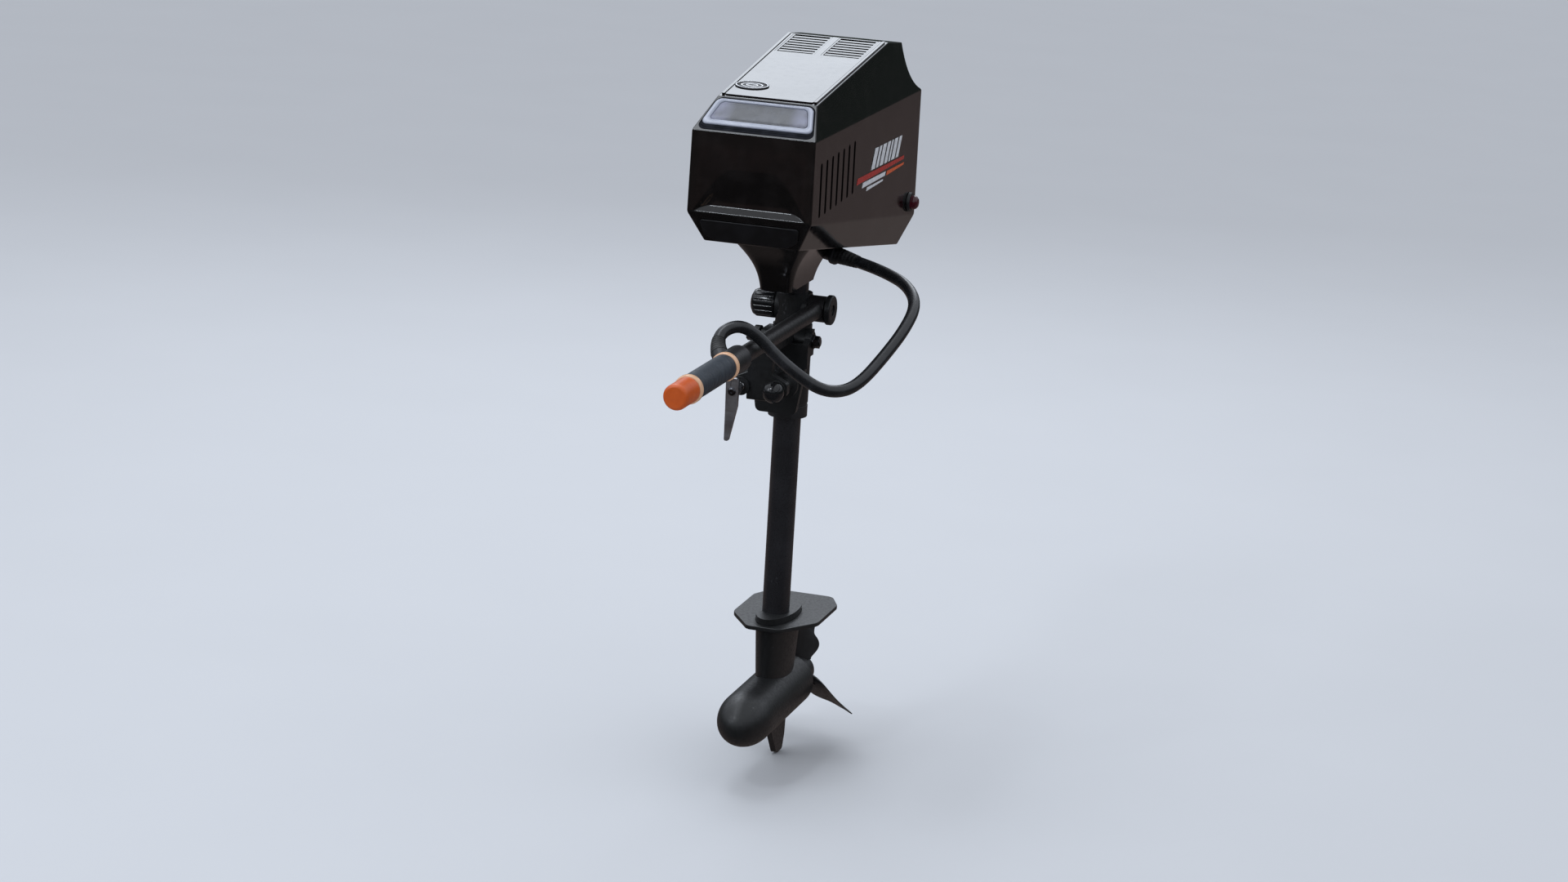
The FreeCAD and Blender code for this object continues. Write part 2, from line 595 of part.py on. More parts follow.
def vent_slots():
    """The upright slots in one side of the cowl."""
    slots = []
    for i in range(VENT_COUNT):
        y = VENT_FIRST_Y + i * VENT_PITCH
        lift = i * 1.5
        outline = rectangle((y - VENT_WIDTH / 2, VENT_Z[0] + lift), (y + VENT_WIDTH / 2, VENT_Z[1] + lift))
        slots.append(side_plate(outline, (70.0, 100.0), VENT_WIDTH / 2 - 0.1))
    return slots


def upper_cowl():
    """The one-piece shell of the head, open below, with its vents, grille openings and button hole."""
    shell = cowl_solid().cut(cowl_solid(-COWL_WALL))
    cuts = [on_belly(flat_plate(pan_outline(0.0), (-20, 30), 12.0))]
    for side in (-1, 1):
        x = sorted((side * GRILLE_X[0], side * GRILLE_X[1]))
        cuts.append(roof_opening(*x))
    slots = vent_slots()
    cuts += slots + [mirrored(slot) for slot in slots]
    cuts.append(rod((70, BUTTON_Y, BUTTON_Z), (100, BUTTON_Y, BUTTON_Z), 12.0))
    return shell.cut(cuts).removeSplitter()


def neck_section(z, half, y, corner):
    """One level of the neck: a rectangle with rounded corners."""
    outline = rectangle((-half, y[0]), (half, y[1]))
    face = rounded_face([V(px, py, z) for px, py in outline], [corner] * 4)
    return face.OuterWire


def neck_solid(wall):
    """The neck between tube and head, flaring upwards, thinned by a wall for its inside."""
    levels = [(NECK_BOTTOM, 22.0, (-16.0, 99.0), 8.0), (96.0, 26.0, (-22.0, 116.0), 10.0),
              (124.0, 39.0, (-38.0, 168.0), 14.0), (150.0, 57.0, (-58.0, 250.0), 20.0)]
    wires = [neck_section(z, half - wall, (y[0] + wall, y[1] - wall), corner - wall / 2)
             for z, half, y, corner in levels]
    return Part.makeLoft(wires, True, False)


def cable_gland_axis():
    """Where the control cable leaves the head, and its direction there."""
    start = CABLE_ROUTE[0]
    return start, (CABLE_ROUTE[1] - start).normalize()


def lower_cowl():
    """The cast pan that closes the head from below, with the neck that carries it on the tube."""
    below = on_belly(box((-100, 100), (-300, 500), (-200, 4)))
    pan = on_belly(flat_plate(pan_outline(0.3), (0, 4), 11.7))
    neck = neck_solid(0.0).common(below)
    hollow = neck_solid(4.0).common(box((-100, 100), (-200, 400), (NECK_BOTTOM + 14, 200)))
    body = pan.fuse(neck).cut([hollow, upright(TUBE_R, (60, 200))])
    inlet_hole = upright(INLET_R + 6, (60, 160), INLET_Y, INLET_X)
    return body.cut([gland_solid(), inlet_hole]).removeSplitter()


def gland_solid():
    """The outer shape of the nut and barrel that hold the control cable where it leaves the neck."""
    end, direction = cable_gland_axis()
    barrel = Part.makeCylinder(11.0, 22, end - direction * 22, direction)
    return barrel.fuse(Part.makeCylinder(14.0, 6, end - direction * 8, direction))


def cable_gland():
    """The gland, bored for the cable's wires."""
    end, direction = cable_gland_axis()
    return gland_solid().cut(Part.makeCylinder(5.0, 60, end - direction * 50, direction)).removeSplitter()


def front_panel():
    """The dark inset panel below the ledge."""
    lean = math.degrees(math.atan2(BELLY_FRONT[0] - LEDGE[0], LEDGE[1] - BELLY_FRONT[1]))
    outline = [(-50, 3), (50, 3), (64, 12), (68, 34), (-68, 34), (-64, 12)]
    panel = flat_plate(outline, (0, 1.6), [3, 3, 3, 4, 4, 3])
    panel.Placement = FreeCAD.Placement(V(0, *BELLY_FRONT), FreeCAD.Rotation(V(1, 0, 0), 90 + lean))
    return panel


def window():
    """The raised frame round the sloping window, and the panel set inside it."""
    gap = 0.3
    low, high = WINDOW_OPENING_Y
    low_half, high_half = WINDOW_OPENING_HALF
    outer = flat_plate(trapezoid(WINDOW_FRAME_Y, *WINDOW_FRAME_HALF), (0, 3.0), 8.0)
    opening = flat_plate(trapezoid((low, high), low_half, high_half), (-1, 4), 6.0)
    panel = flat_plate(trapezoid((low + gap, high - gap), low_half - gap, high_half - gap), (0, 1.4), 6.0 - gap)
    return on_window(outer.cut(opening)), on_window(panel)


def top_panel():
    """The thin panel laid on the roof, open over the two grilles."""
    plate = flat_plate(trapezoid((-92, 213), 60, 64.5), (0, 1.6), 3.0)
    for side in (-1, 1):
        x = sorted((side * GRILLE_X[0], side * GRILLE_X[1]))
        plate = plate.cut(flat_plate(rectangle((x[0], GRILLE_Y[0]), (x[1], GRILLE_Y[1])), (-3, 5), 3.0))
    return on_roof(plate)


def top_strips():
    """The raised strips along both edges of the roof."""
    strip = flat_plate([(61.2, -92), (64.8, -92), (69.4, 213), (65.7, 213)], (0, 2.4), 1.0)
    return on_roof(strip.copy()), on_roof(mirrored(strip))


def grille(side):
    """One roof grille: a frame with slats across it."""
    low, high = sorted((side * GRILLE_X[0], side * GRILLE_X[1]))
    gap = 0.3
    rim = 3.0
    front, back = GRILLE_Y
    frame = flat_plate(rectangle((low + gap, front + gap), (high - gap, back - gap)), (-3, 1.4), 2.7)
    inner = flat_plate(rectangle((low + rim, front + rim), (high - rim, back - rim)), (-5, 5), 1.5)
    body = frame.cut(inner)
    pitch = (back - front) / (SLAT_COUNT + 1)
    for i in range(SLAT_COUNT):
        y = front + (i + 1) * pitch
        body = body.fuse(box((low + 2, high - 2), (y - 3.0, y + 3.0), (-2.6, 0.8)))
    return on_roof(body.removeSplitter())


def badge():
    """A plain oval badge on the roof."""
    ring = Part.Face(Part.Wire(Part.Ellipse(V(-38, -46, 0), 23.0, 17.0).toShape())).extrude(V(0, 0, 1.4))
    ring.translate(V(0, 0, 1.6))
    recess = Part.Face(Part.Wire(Part.Ellipse(V(-38, -46, 0), 19.5, 13.5).toShape())).extrude(V(0, 0, 1.0))
    recess.translate(V(0, 0, 2.5))
    return on_roof(ring.cut(recess))


def stop_button():
    """The red push button with the stem that runs in the bezel."""
    dome = spun([(-3, 0), (-3, BUTTON_R - 0.5), (6, BUTTON_R), (9, BUTTON_R - 1.2), (11.5, 6.0), (12.5, 0)],
                (90, BUTTON_Y, BUTTON_Z), (1, 0, 0))
    stem = rod((79, BUTTON_Y, BUTTON_Z), (88, BUTTON_Y, BUTTON_Z), 4.0)
    return dome.fuse(stem).removeSplitter()


def button_bezel():
    """The black ring the button runs in, with its flange outside the cowl."""
    bore = BUTTON_R + RUN
    profile = [(83.5, bore), (83.5, 12.0), (88.0, 12.0), (88.0, 14.0), (92.0, 13.4), (92.0, bore)]
    ring = spun(profile, (0, BUTTON_Y, BUTTON_Z), (1, 0, 0))
    return ring.cut(cowl_solid().cut(rod((60, BUTTON_Y, BUTTON_Z), (110, BUTTON_Y, BUTTON_Z), 12.0)))


def button_boot():
    """The rubber bellows under the button that pushes it back out."""
    profile = [(75.2, 4.4), (75.2, 7.0)]
    folds = 3
    step = 3.2
    for i in range(folds):
        start = 75.6 + i * step
        profile += [(start + 0.5 * step, 8.4), (start + step, 6.4)]
    profile += [(86.6, 7.0), (86.6, 5.4)]
    for i in reversed(range(folds)):
        start = 75.6 + i * step
        profile += [(start + step, 5.2), (start + 0.5 * step, 7.2)]
    return spun(profile, (0, BUTTON_Y, BUTTON_Z), (1, 0, 0))


def build_head():
    """The shells, panels and trim of the motor head."""
    save("upper_cowl", upper_cowl())
    save("lower_cowl", lower_cowl())
    save("cable_gland", cable_gland())
    save("front_lower_panel", front_panel())
    frame, pane = window()
    save("window_frame", frame)
    save("window_panel", pane)
    save("top_panel", top_panel(), *top_strips())
    save("roof_grilles", grille(-1), grille(1))
    save("badge", badge())
    save("stop_button", stop_button())
    save("button_bezel", button_bezel())
    save("button_boot", button_boot())
    switch = box((56, 74.8), (BUTTON_Y - 9, BUTTON_Y + 9), (BUTTON_Z - 9, BUTTON_Z + 9))
    save("stop_switch", switch)
    low = belly_z(INLET_Y) - 8
    inlet = upright(INLET_R + 6, (low, low + 24), INLET_Y, INLET_X)
    save("power_inlet", inlet.cut(upright(INLET_R, (low, low + INLET_DEPTH), INLET_Y, INLET_X)))


# ---------------------------------------------------------------- motor

def build_motor():
    """The electric motor over the tube, its controller and its leads."""
    plate = upright(56.0, (166, 174)).fuse(upright(26.0, (132, 166)))
    plate = plate.cut([upright(TUBE_R, (100, 141)), upright(10.0, (130, 180))])
    save("motor_plate", plate.removeSplitter())
    low, high = MOTOR_Z
    save("end_bells", *[upright_tube(MOTOR_R, 13.0, (z - 4, z + 4)) for z in MOTOR_Z])
    magnets = []
    ring = upright_tube(MOTOR_R - 3, MOTOR_R - 11, (low + 20, high - 34))
    for i in range(4):
        wedge = Part.makeCylinder(MOTOR_R, high - low, V(0, TUBE_Y, low), V(0, 0, 1), 76)
        wedge.rotate(V(0, TUBE_Y, 0), V(0, 0, 1), 90 * i + 7)
        magnets.append(ring.common(wedge))
    save("motor_stator", upright_tube(MOTOR_R, MOTOR_R - 3, (low + 4, high - 4)), *magnets)
    coupling = upright_tube(8.5, SHAFT_R, (150, 174))
    save("armature_shaft", upright(SHAFT_R, (174, 344)).fuse(coupling).removeSplitter())
    core = upright_tube(38.0, SHAFT_R, (low + 22, high - 36))
    for i in range(12):
        angle = math.radians(30 * i)
        slot = upright(2.6, (low, high), TUBE_Y + 36.5 * math.cos(angle), 36.5 * math.sin(angle))
        core = core.cut(slot)
    save("armature_core", core, upright_tube(15.0, SHAFT_R, (high - 30, high - 10)))
    brushes = [box((x, x + 14), (TUBE_Y - 4, TUBE_Y + 4), (high - 24, high - 16)) for x in (15.4, -29.4)]
    holders = []
    for x in (16.5, -47.5):
        block = box((x, x + 31), (TUBE_Y - 7, TUBE_Y + 7), (high - 27, high - 4))
        holders.append(block.cut(box((-60, 60), (TUBE_Y - 4, TUBE_Y + 4), (high - 24, high - 16))))
    save("brush_gear", *brushes, *holders)
    save("cooling_fan", cooling_fan())
    save("controller", *controller())
    save("motor_leads", *motor_leads())


def controller():
    """The speed controller on its four feet, and the finned heat sink on top of it."""
    block = box((-44, 44), (190, 300), (158, 186))
    feet = [box((x - 4, x + 4), (y - 4, y + 4), (belly_z(y) + 6, 158)) for x in (-36, 36) for y in (200, 290)]
    sink = box((-44, 44), (190, 300), (186, 192))
    for i in range(9):
        x = -42 + i * 10
        sink = sink.fuse(box((x, x + 3), (190, 300), (192, 216)))
    return block.fuse(feet).removeSplitter(), sink.removeSplitter()


def motor_leads():
    """The two heavy leads from the controller up to the brush holders."""
    leads = []
    for side in (-1, 1):
        route = [V(side * 30, 190, 176), V(side * 30, 174, 176), V(side * 38, 162, 186), V(side * 52, 146, 212),
                 V(side * 63, 126, 246), V(side * 68, 104, 276), V(side * 67, 88, 294), V(side * 60, 80, 300),
                 V(side * 52.3, 80, 300)]
        leads.append(swept(route, 3.0))
    return leads


def cooling_fan():
    """The fan on top of the armature that draws air through the head."""
    fan = upright_tube(9.0, SHAFT_R, (322, 340)).fuse(upright_tube(44.0, SHAFT_R, (322, 324.5)))
    for i in range(9):
        blade = box((8, 42), (TUBE_Y - 1, TUBE_Y + 1), (324, 338))
        blade.rotate(V(0, TUBE_Y, 0), V(0, 0, 1), 40 * i)
        fan = fan.fuse(blade)
    return fan.removeSplitter()


# ---------------------------------------------------------------- gears

def bevel_gear(teeth, mate_teeth, phase):
    """A straight bevel gear about Z with its cone's tip at the origin, opening upwards."""
    cone_angle = math.atan2(teeth, mate_teeth)
    module = 2 * CONE_LENGTH * math.sin(cone_angle) / teeth
    addendum, dedendum = 0.75 * module, 1.0 * module
    outer, inner = CONE_LENGTH, CONE_LENGTH - FACE_WIDTH

    def at(slant, offset):
        """Height and radius of a point on the cone, offset at right angles to it."""
        scaled = offset * slant / CONE_LENGTH
        height = slant * math.cos(cone_angle) - scaled * math.sin(cone_angle)
        return height, slant * math.sin(cone_angle) + scaled * math.cos(cone_angle)

    root_outer, root_inner = at(outer, -dedendum), at(inner, -dedendum)
    blank = [(root_inner[0], 0), root_inner, root_outer, (root_outer[0] + 5, root_outer[1] * 0.8),
             (root_outer[0] + 5, 0)]
    gear = spun(blank, (0, 0, 0), (0, 0, 1))
    pitch_radius = CONE_LENGTH * math.sin(cone_angle)
    half_pitch = math.pi / teeth / 2 * 0.84
    flank = math.tan(math.radians(20)) / pitch_radius
    levels = [(-1.2 * dedendum, half_pitch + dedendum * flank), (addendum, half_pitch - 1.15 * addendum * flank)]

    def tooth_wire(slant):
        """The four corners of a tooth's cross-section at one slant length."""
        corners = []
        for (offset, spread), sides in zip(levels, ((-1, 1), (1, -1))):
            height, radius = at(slant, offset)
            corners += [V(radius * math.cos(s * spread), radius * math.sin(s * spread), height) for s in sides]
        return Part.makePolygon(corners + corners[:1])

    tooth = Part.makeLoft([tooth_wire(inner), tooth_wire(outer)], True, True)
    for i in range(teeth):
        copy = tooth.copy()
        copy.rotate(V(0, 0, 0), V(0, 0, 1), phase + 360 * i / teeth)
        gear = gear.fuse(copy)
    return gear.removeSplitter()


def pinion():
    """The pinion on the drive shaft, above the propeller shaft."""
    gear = bevel_gear(PINION_TEETH, GEAR_TEETH, -90)
    gear.translate(V(0, TUBE_Y, PROP_Z))
    return gear.cut(upright(SHAFT_R, (PROP_Z - 40, PROP_Z + 40)))


def prop_gear():
    """The gear on the propeller shaft, ahead of the pinion."""
    gear = bevel_gear(GEAR_TEETH, PINION_TEETH, -90 + 180 / GEAR_TEETH)
    gear.Placement = FreeCAD.Placement(V(0, TUBE_Y, PROP_Z), FreeCAD.Rotation(V(1, 0, 0), 90))
    hub = tube((0, 50, PROP_Z), (0, 62, PROP_Z), 12.0, PROP_SHAFT_R)
    gear = gear.cut(rod((0, 0, PROP_Z), (0, 200, PROP_Z), PROP_SHAFT_R))
    return gear.fuse(hub).removeSplitter()


# ---------------------------------------------------------------- lower unit

def strut_section(z, half_length, half_width, middle_y):
    """One level of the streamlined leg."""
    ellipse = Part.Ellipse(V(0, 0, 0), half_length, half_width)
    wire = Part.Wire(ellipse.toShape())
    wire.Placement = FreeCAD.Placement(V(0, middle_y, z), FreeCAD.Rotation(V(0, 0, 1), 90))
    return wire


def strut_solid():
    """The streamlined leg between the plate and the pod."""
    levels = [(-396.0, 66.0, 27.0, 96.0), (-440.0, 60.0, 25.0, 94.0), (PROP_Z + 8, 56.0, 20.0, 92.0)]
    return Part.makeLoft([strut_section(*level) for level in levels], True, False)


def gearcase():
    """The casting below the plate: leg, pod and skeg, bored for the shafts and gears."""
    pod = rod((0, POD_FRONT_Y, PROP_Z), (0, POD_REAR_Y, PROP_Z), POD_R)
    tail = cone((0, POD_REAR_Y, PROP_Z), (0, POD_REAR_Y + 12, PROP_Z), POD_R, 33.0)
    skeg = side_plate([(62, PROP_Z - 30), (150, PROP_Z - 30), (146, PROP_Z - 75),
                       (138, PROP_Z - 95), (112, PROP_Z - 95)],
                      (-4, 4), [0, 0, 10, 6, 14])
    body = strut_solid().fuse([pod, tail, skeg])
    bores = [upright(TUBE_R, (TUBE_END, -390)), upright(9.0, (PROP_Z + 25, -400)),
             upright(16.0, (PROP_Z, PROP_Z + 43)), rod((0, 30, PROP_Z), (0, 190, PROP_Z), POD_BORE_R),
             rod((0, 8, PROP_Z), (0, 40, PROP_Z), 16.0)]
    return body.cut(bores).removeSplitter()


def nose_cone():
    """The rounded nose of the pod."""
    length = 62.0
    steps = 10
    profile = [(0, 0)]
    for i in range(steps + 1):
        angle = math.pi / 2 * i / steps
        profile.append((length * math.sin(angle), POD_R * math.cos(angle)))
    return spun(profile[:-1] + [(length, 0)], (0, POD_FRONT_Y, PROP_Z), (0, -1, 0))


def bearing_carrier():
    """The plug that closes the back of the pod and holds the rear bearing and seal."""
    profile = [(136, 13.0), (136, POD_BORE_R), (170, POD_BORE_R), (174, 28.0), (174, 9.0), (158, 9.0),
               (158, 13.0)]
    return spun(profile, (0, 0, PROP_Z), (0, 1, 0))


def propeller():
    """Hub and three twisted blades."""
    profile = [(HUB_Y[0], PROP_SHAFT_R), (HUB_Y[0], HUB_R + 1), (HUB_Y[1] - 8, HUB_R - 2), (HUB_Y[1], HUB_R - 6),
               (HUB_Y[1], PROP_SHAFT_R)]
    prop = spun(profile, (0, 0, PROP_Z), (0, 1, 0))
    levels = [(HUB_R - 6, 22.0, 3.2, 52.0), (50.0, 31.0, 2.6, 38.0), (76.0, 33.0, 1.9, 27.0),
              (93.0, 21.0, 1.3, 22.0), (PROP_RADIUS, 7.0, 0.7, 20.0)]
    middle = (HUB_Y[0] + HUB_Y[1]) / 2
    wires = []
    for radius, half_chord, half_thick, pitch_angle in levels:
        wire = Part.Wire(Part.Ellipse(V(0, 0, 0), half_chord, half_thick).toShape())
        wire.Placement = FreeCAD.Placement(V(0, middle, radius), FreeCAD.Rotation(V(0, 0, 1), 90 - pitch_angle))
        wires.append(wire)
    blade = Part.makeLoft(wires, True, False)
    for i in range(3):
        copy = blade.copy()
        copy.translate(V(0, 0, PROP_Z))
        copy.rotate(V(0, 0, PROP_Z), V(0, 1, 0), 120 * i)
        prop = prop.fuse(copy)
    return prop.cut(shear_pin()).removeSplitter()


def shear_pin():
    """The pin across the hub that drives the propeller and shears on a hard knock."""
    y = HUB_Y[0] + 4
    return rod((-14, y, PROP_Z), (14, y, PROP_Z), 2.5)


def build_lower_unit():
    """Tube, leg, gears, shafts and propeller."""
    save("steering_tube", upright_tube(TUBE_R, TUBE_R - TUBE_WALL, (TUBE_END, 141)))
    collar = upright_tube(SWIVEL_R, TUBE_R, (-115, SWIVEL_BOTTOM - 3.4))
    save("depth_collar", collar.cut(box((-1, 1), (TUBE_Y + 15, TUBE_Y + 40), (-130, -90))))
    save("gearcase", gearcase())
    plate = flat_plate([(-24, 22), (24, 22), (62, 80), (62, 176), (44, 214), (-44, 214), (-62, 176), (-62, 80)],
                       (PLATE_Z - 3, PLATE_Z + 3), [10, 10, 30, 20, 14, 14, 20, 30])
    save("ventilation_plate", plate.cut([strut_solid(), upright(TUBE_R, (-420, -390))]))
    save("gearcase_nose", nose_cone())
    save("bearing_carrier", bearing_carrier())
    anode = box((33, 47), (104, 140), (PLATE_Z - 11, PLATE_Z - 3))
    save("anode", anode.makeFillet(3.0, [edge for edge in anode.Edges if edge.BoundBox.ZLength > 5]))
    save("drive_shaft", upright(SHAFT_R, (PROP_Z + 18, 173.9)))
    save("pinion", pinion())
    save("prop_gear", prop_gear())
    shaft = rod((0, 12, PROP_Z), (0, 238, PROP_Z), PROP_SHAFT_R)
    save("prop_shaft", shaft.cut(shear_pin()))
    save("propeller", propeller())
    nut = hexagon((0, HUB_Y[1], PROP_Z), (0, 1, 0), 22.0, 9.0)
    save("prop_nut_and_pin", nut.cut(rod((0, 200, PROP_Z), (0, 260, PROP_Z), PROP_SHAFT_R)), shear_pin())
    bearings = [tube((0, 12, PROP_Z), (0, 22, PROP_Z), 16.0, PROP_SHAFT_R + 0.05),
                tube((0, 140, PROP_Z), (0, 152, PROP_Z), 13.0, PROP_SHAFT_R + 0.05),
                upright_tube(16.0, SHAFT_R + 0.05, (PROP_Z + 35, PROP_Z + 43))]
    bearings += [upright_tube(13.0, SHAFT_R + 0.05, (z - 3.5, z + 3.5)) for z in MOTOR_Z]
    save("ball_bearings", *bearings)
    seals = [tube((0, 160, PROP_Z), (0, 168, PROP_Z), 9.0, PROP_SHAFT_R + 0.03),
             upright_tube(9.0, SHAFT_R + 0.03, (PROP_Z + 50, PROP_Z + 58))]
    save("shaft_seals", *seals)


def main():
    """Write every sub-part as its own STEP file."""
    os.makedirs("parts", exist_ok=True)
    build_clamp()
    build_swivel()
    cable = swept(CABLE_ROUTE, CABLE_R)
    save("control_cable", cable)
    build_tiller(cable)
    build_head()
    build_motor()
    build_lower_unit()


main()
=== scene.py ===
"""The look of a transom-mount electric outboard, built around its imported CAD. Metres, +X port, +Y aft."""
import json
import math

import bmesh
import bpy
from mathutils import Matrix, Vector


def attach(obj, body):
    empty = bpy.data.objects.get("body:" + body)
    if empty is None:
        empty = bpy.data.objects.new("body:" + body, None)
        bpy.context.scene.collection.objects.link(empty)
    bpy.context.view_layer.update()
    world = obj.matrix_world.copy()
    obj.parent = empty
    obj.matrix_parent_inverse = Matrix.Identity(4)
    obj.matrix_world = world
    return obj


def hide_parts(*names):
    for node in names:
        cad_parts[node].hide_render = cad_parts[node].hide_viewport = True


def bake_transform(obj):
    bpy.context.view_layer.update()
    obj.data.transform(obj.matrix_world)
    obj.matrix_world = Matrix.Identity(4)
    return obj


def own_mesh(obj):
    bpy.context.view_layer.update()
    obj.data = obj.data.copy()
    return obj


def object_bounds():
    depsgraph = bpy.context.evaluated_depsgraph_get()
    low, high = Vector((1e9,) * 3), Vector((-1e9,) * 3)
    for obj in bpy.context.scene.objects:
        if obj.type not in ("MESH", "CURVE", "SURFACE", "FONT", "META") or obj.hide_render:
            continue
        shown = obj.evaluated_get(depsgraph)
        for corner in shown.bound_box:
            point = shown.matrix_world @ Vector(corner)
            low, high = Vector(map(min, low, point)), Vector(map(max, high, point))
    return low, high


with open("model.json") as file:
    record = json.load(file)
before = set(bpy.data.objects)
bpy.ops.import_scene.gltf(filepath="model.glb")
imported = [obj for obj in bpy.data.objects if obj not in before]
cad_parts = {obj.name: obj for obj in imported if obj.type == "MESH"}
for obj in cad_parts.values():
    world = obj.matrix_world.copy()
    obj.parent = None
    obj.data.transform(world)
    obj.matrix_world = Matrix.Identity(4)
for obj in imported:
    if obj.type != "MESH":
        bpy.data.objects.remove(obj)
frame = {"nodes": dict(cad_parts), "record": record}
cad_low, cad_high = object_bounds()
nodes = frame["nodes"]
slots = {part["node"]: part["material_slot"] for part in frame["record"]["subparts"]}
bodies = {node: body for body, names in frame["record"]["behaviour"]["bodies"].items() for node in names}

# camera and stage
CAMERA_AT = Vector((1.384, -4.614, 1.054))
CAMERA_AIM_OFFSET = Vector((-0.01, 0.0, 0.0))
CAMERA_LENS = 84.0
CAMERA_ROLL = math.radians(3.4)
SENSOR_WIDTH = 36.0
FLOOR_GAP = 0.002
FLOOR_HALF = 30.0
LIGHT_COLOUR = (0.86, 0.92, 1.0)
# where each softbox is, what it points at, its size and its radiance
SOFTBOXES = {
    "light_behind": ((-0.9, 2.9, 2.1), (0.0, 0.05, 0.36), (3.0, 1.7), 2.4),
    "light_overhead": ((-0.73, 0.0, 2.9), (0.0, -0.12, 0.32), (1.5, 1.3), 3.2),
    "light_left": ((-2.6, -2.6, 2.2), (0.0, -0.1, 0.0), (1.2, 1.6), 3.0),
    "light_spark": ((-0.9, -2.2, 2.4), (0.0, -0.1, 0.0), (0.35, 0.35), 30.0),
}
# the world's colours, from straight down at 0 to straight up at 1, and where they turn from ahead to aft
GROUND_AFT = [(0.30, (0.15, 0.125, 0.12)), (0.425, (0.14, 0.11, 0.108))]
GROUND_AHEAD = [(0.37, (0.022, 0.020, 0.020)), (0.405, (0.15, 0.105, 0.10))]
SKY = [(0.455, (0.030, 0.038, 0.035)), (0.565, (0.030, 0.040, 0.037)), (0.66, (0.7, 0.74, 0.82)),
       (1.0, (0.9, 0.94, 1.0))]
WORLD_TURN = (-0.35, 0.0)

# motor head, seen from the side as (y, z)
BELLY_FRONT = (-0.133, 0.157)
LEDGE = (-0.151, 0.196)
BROW = (-0.150, 0.304)
WINDOW_TOP = (-0.098, 0.343)
ROOF_REAR = (0.216, 0.391)
TAIL_TOP = (0.282, 0.384)
TAIL_HOLLOW = (0.306, 0.338)
TAIL_CORNER = (0.358, 0.311)
TAIL_LOW = (0.361, 0.131)
BELLY_REAR = (0.352, 0.086)
HEAD_LENGTH = (-0.150, 0.360)
SIDE_HALF = (0.085, 0.0875)
CREASE_Z = (0.302, 0.308)
SHOULDER_LEAN = ((-0.170, 0.50), (0.216, 0.175), (0.380, 0.16))
SKIRT_IN = 0.020
COWL_WALL = 0.003
EDGE_ROUND = 0.012
# how round the head's edges are, as shares of EDGE_ROUND: across at the ledge, brow and window's top
CRISP_EDGES = {1: 0.22, 2: 0.25, 3: 0.42}
OTHER_ACROSS = 0.6
WINDOW_SIDE = 0.45
ROOF_SIDE = 0.5
OTHER_SIDE = 0.85
HOLLOW_STEPS = 9
BELLY_TRIM_IN = 0.008
BELLY_TRIM_Z = (0.05, 0.0862)
GRILLE_CUT_DOWN = 0.03
GRILLE_CUT_TOP = 0.42
BUTTON_HOLE_DEPTH = 0.03
VENT_COUNT = 7
VENT_PITCH = 0.025
VENT_FIRST_Y = -0.117
VENT_Z = (0.200, 0.272)
VENT_LIFT = 0.0015
VENT_HALF = 0.004
VENT_END_STEPS = 8
VENT_CUT_X = (0.075, 0.100)
# a dark pleated strip behind each side's vents, painted shade for the inside of the head
SHADE_STRIP_Y = (-0.130, 0.046)
SHADE_STRIP_Z = (0.190, 0.292)
SHADE_STRIP_THICK = 0.005
SHADE_STRIP_GAP = 0.0015
PLEAT_COUNT = 22
PLEAT_DEPTH = 0.002
GRILLE_X = (0.0045, 0.061)
GRILLE_Y = (0.120, 0.213)
BUTTON_AT = (0.324, 0.154)
BUTTON_HOLE_R = 0.0121
PAN_HALF = 0.060
BADGE_AT = (-0.038, -0.046)
BADGE_RIM_LIFT = 0.00301
BADGE_FLOOR_LIFT = 0.00251
OVAL_STEPS = 64
# printed ovals: half-length, half-width, width of the line, height of the face they are on
BADGE_OVALS = [(0.0222, 0.0162, 0.0012, BADGE_RIM_LIFT), (0.0150, 0.0095, 0.0016, BADGE_FLOOR_LIFT),
               (0.0085, 0.0045, 0.0016, BADGE_FLOOR_LIFT)]

# recess in the head's front face; edges, starts and fades are shares of the face's half-width and height
FRONT_HALF = 0.076
FRONT_RIM = 0.0012
FRONT_CUTS = 95
FRONT_BAND = 0.002
HOLLOW_DEPTH = 0.0026
HOLLOW_EDGE = 0.12
HOLLOW_FADE = (0.05, 0.85)
SCOOP_DEPTH = 0.0050
SCOOP_REACH = 1.04
SCOOP_EDGE = 0.24
SCOOP_TOP = 0.56
SCOOP_FADE = 0.44
LIP_SLOPE = 0.85

# rounded outlines on the window's slope: low and high end up it from the brow, and half-width at each
# the first outline is the outer edge of a matt black band round the frame, painted shade for the groove there
SHADE_BAND_OUTER = (0.0030, 0.0632, 0.0800, 0.0668)
FRAME_OUTER = (0.0120, 0.0590, 0.0760, 0.0655)
FRAME_INNER = (0.0210, 0.0545, 0.0670, 0.0585)
CORNER_STEPS = 8
FRAME_CORNERS = (0.008, 0.006)
SHADE_BAND_CORNERS = (0.011, 0.008)
PANE_CORNER = 0.006
PANE_CORNER_LEAST = 0.001

# sections across the window: share of the way from the outer to the inner outline, height off the slope
FRAME_SECTION = [(0.0, 0.0), (0.0, 0.0014), (0.06, 0.0023), (0.18, 0.0029), (0.36, 0.0030), (0.62, 0.0027),
                 (0.84, 0.0021), (0.96, 0.0014), (1.0, 0.0)]
# section of the matt black band, painted shade for the groove round the frame: two low lines with a raised
# line between
SHADE_BAND_SECTION = [(0.0, 0.0), (0.0, 0.0004), (0.12, 0.0008), (0.40, 0.0008), (0.47, 0.0014), (0.60, 0.0014),
                (0.67, 0.0008), (0.99, 0.0007), (0.99, 0.0)]
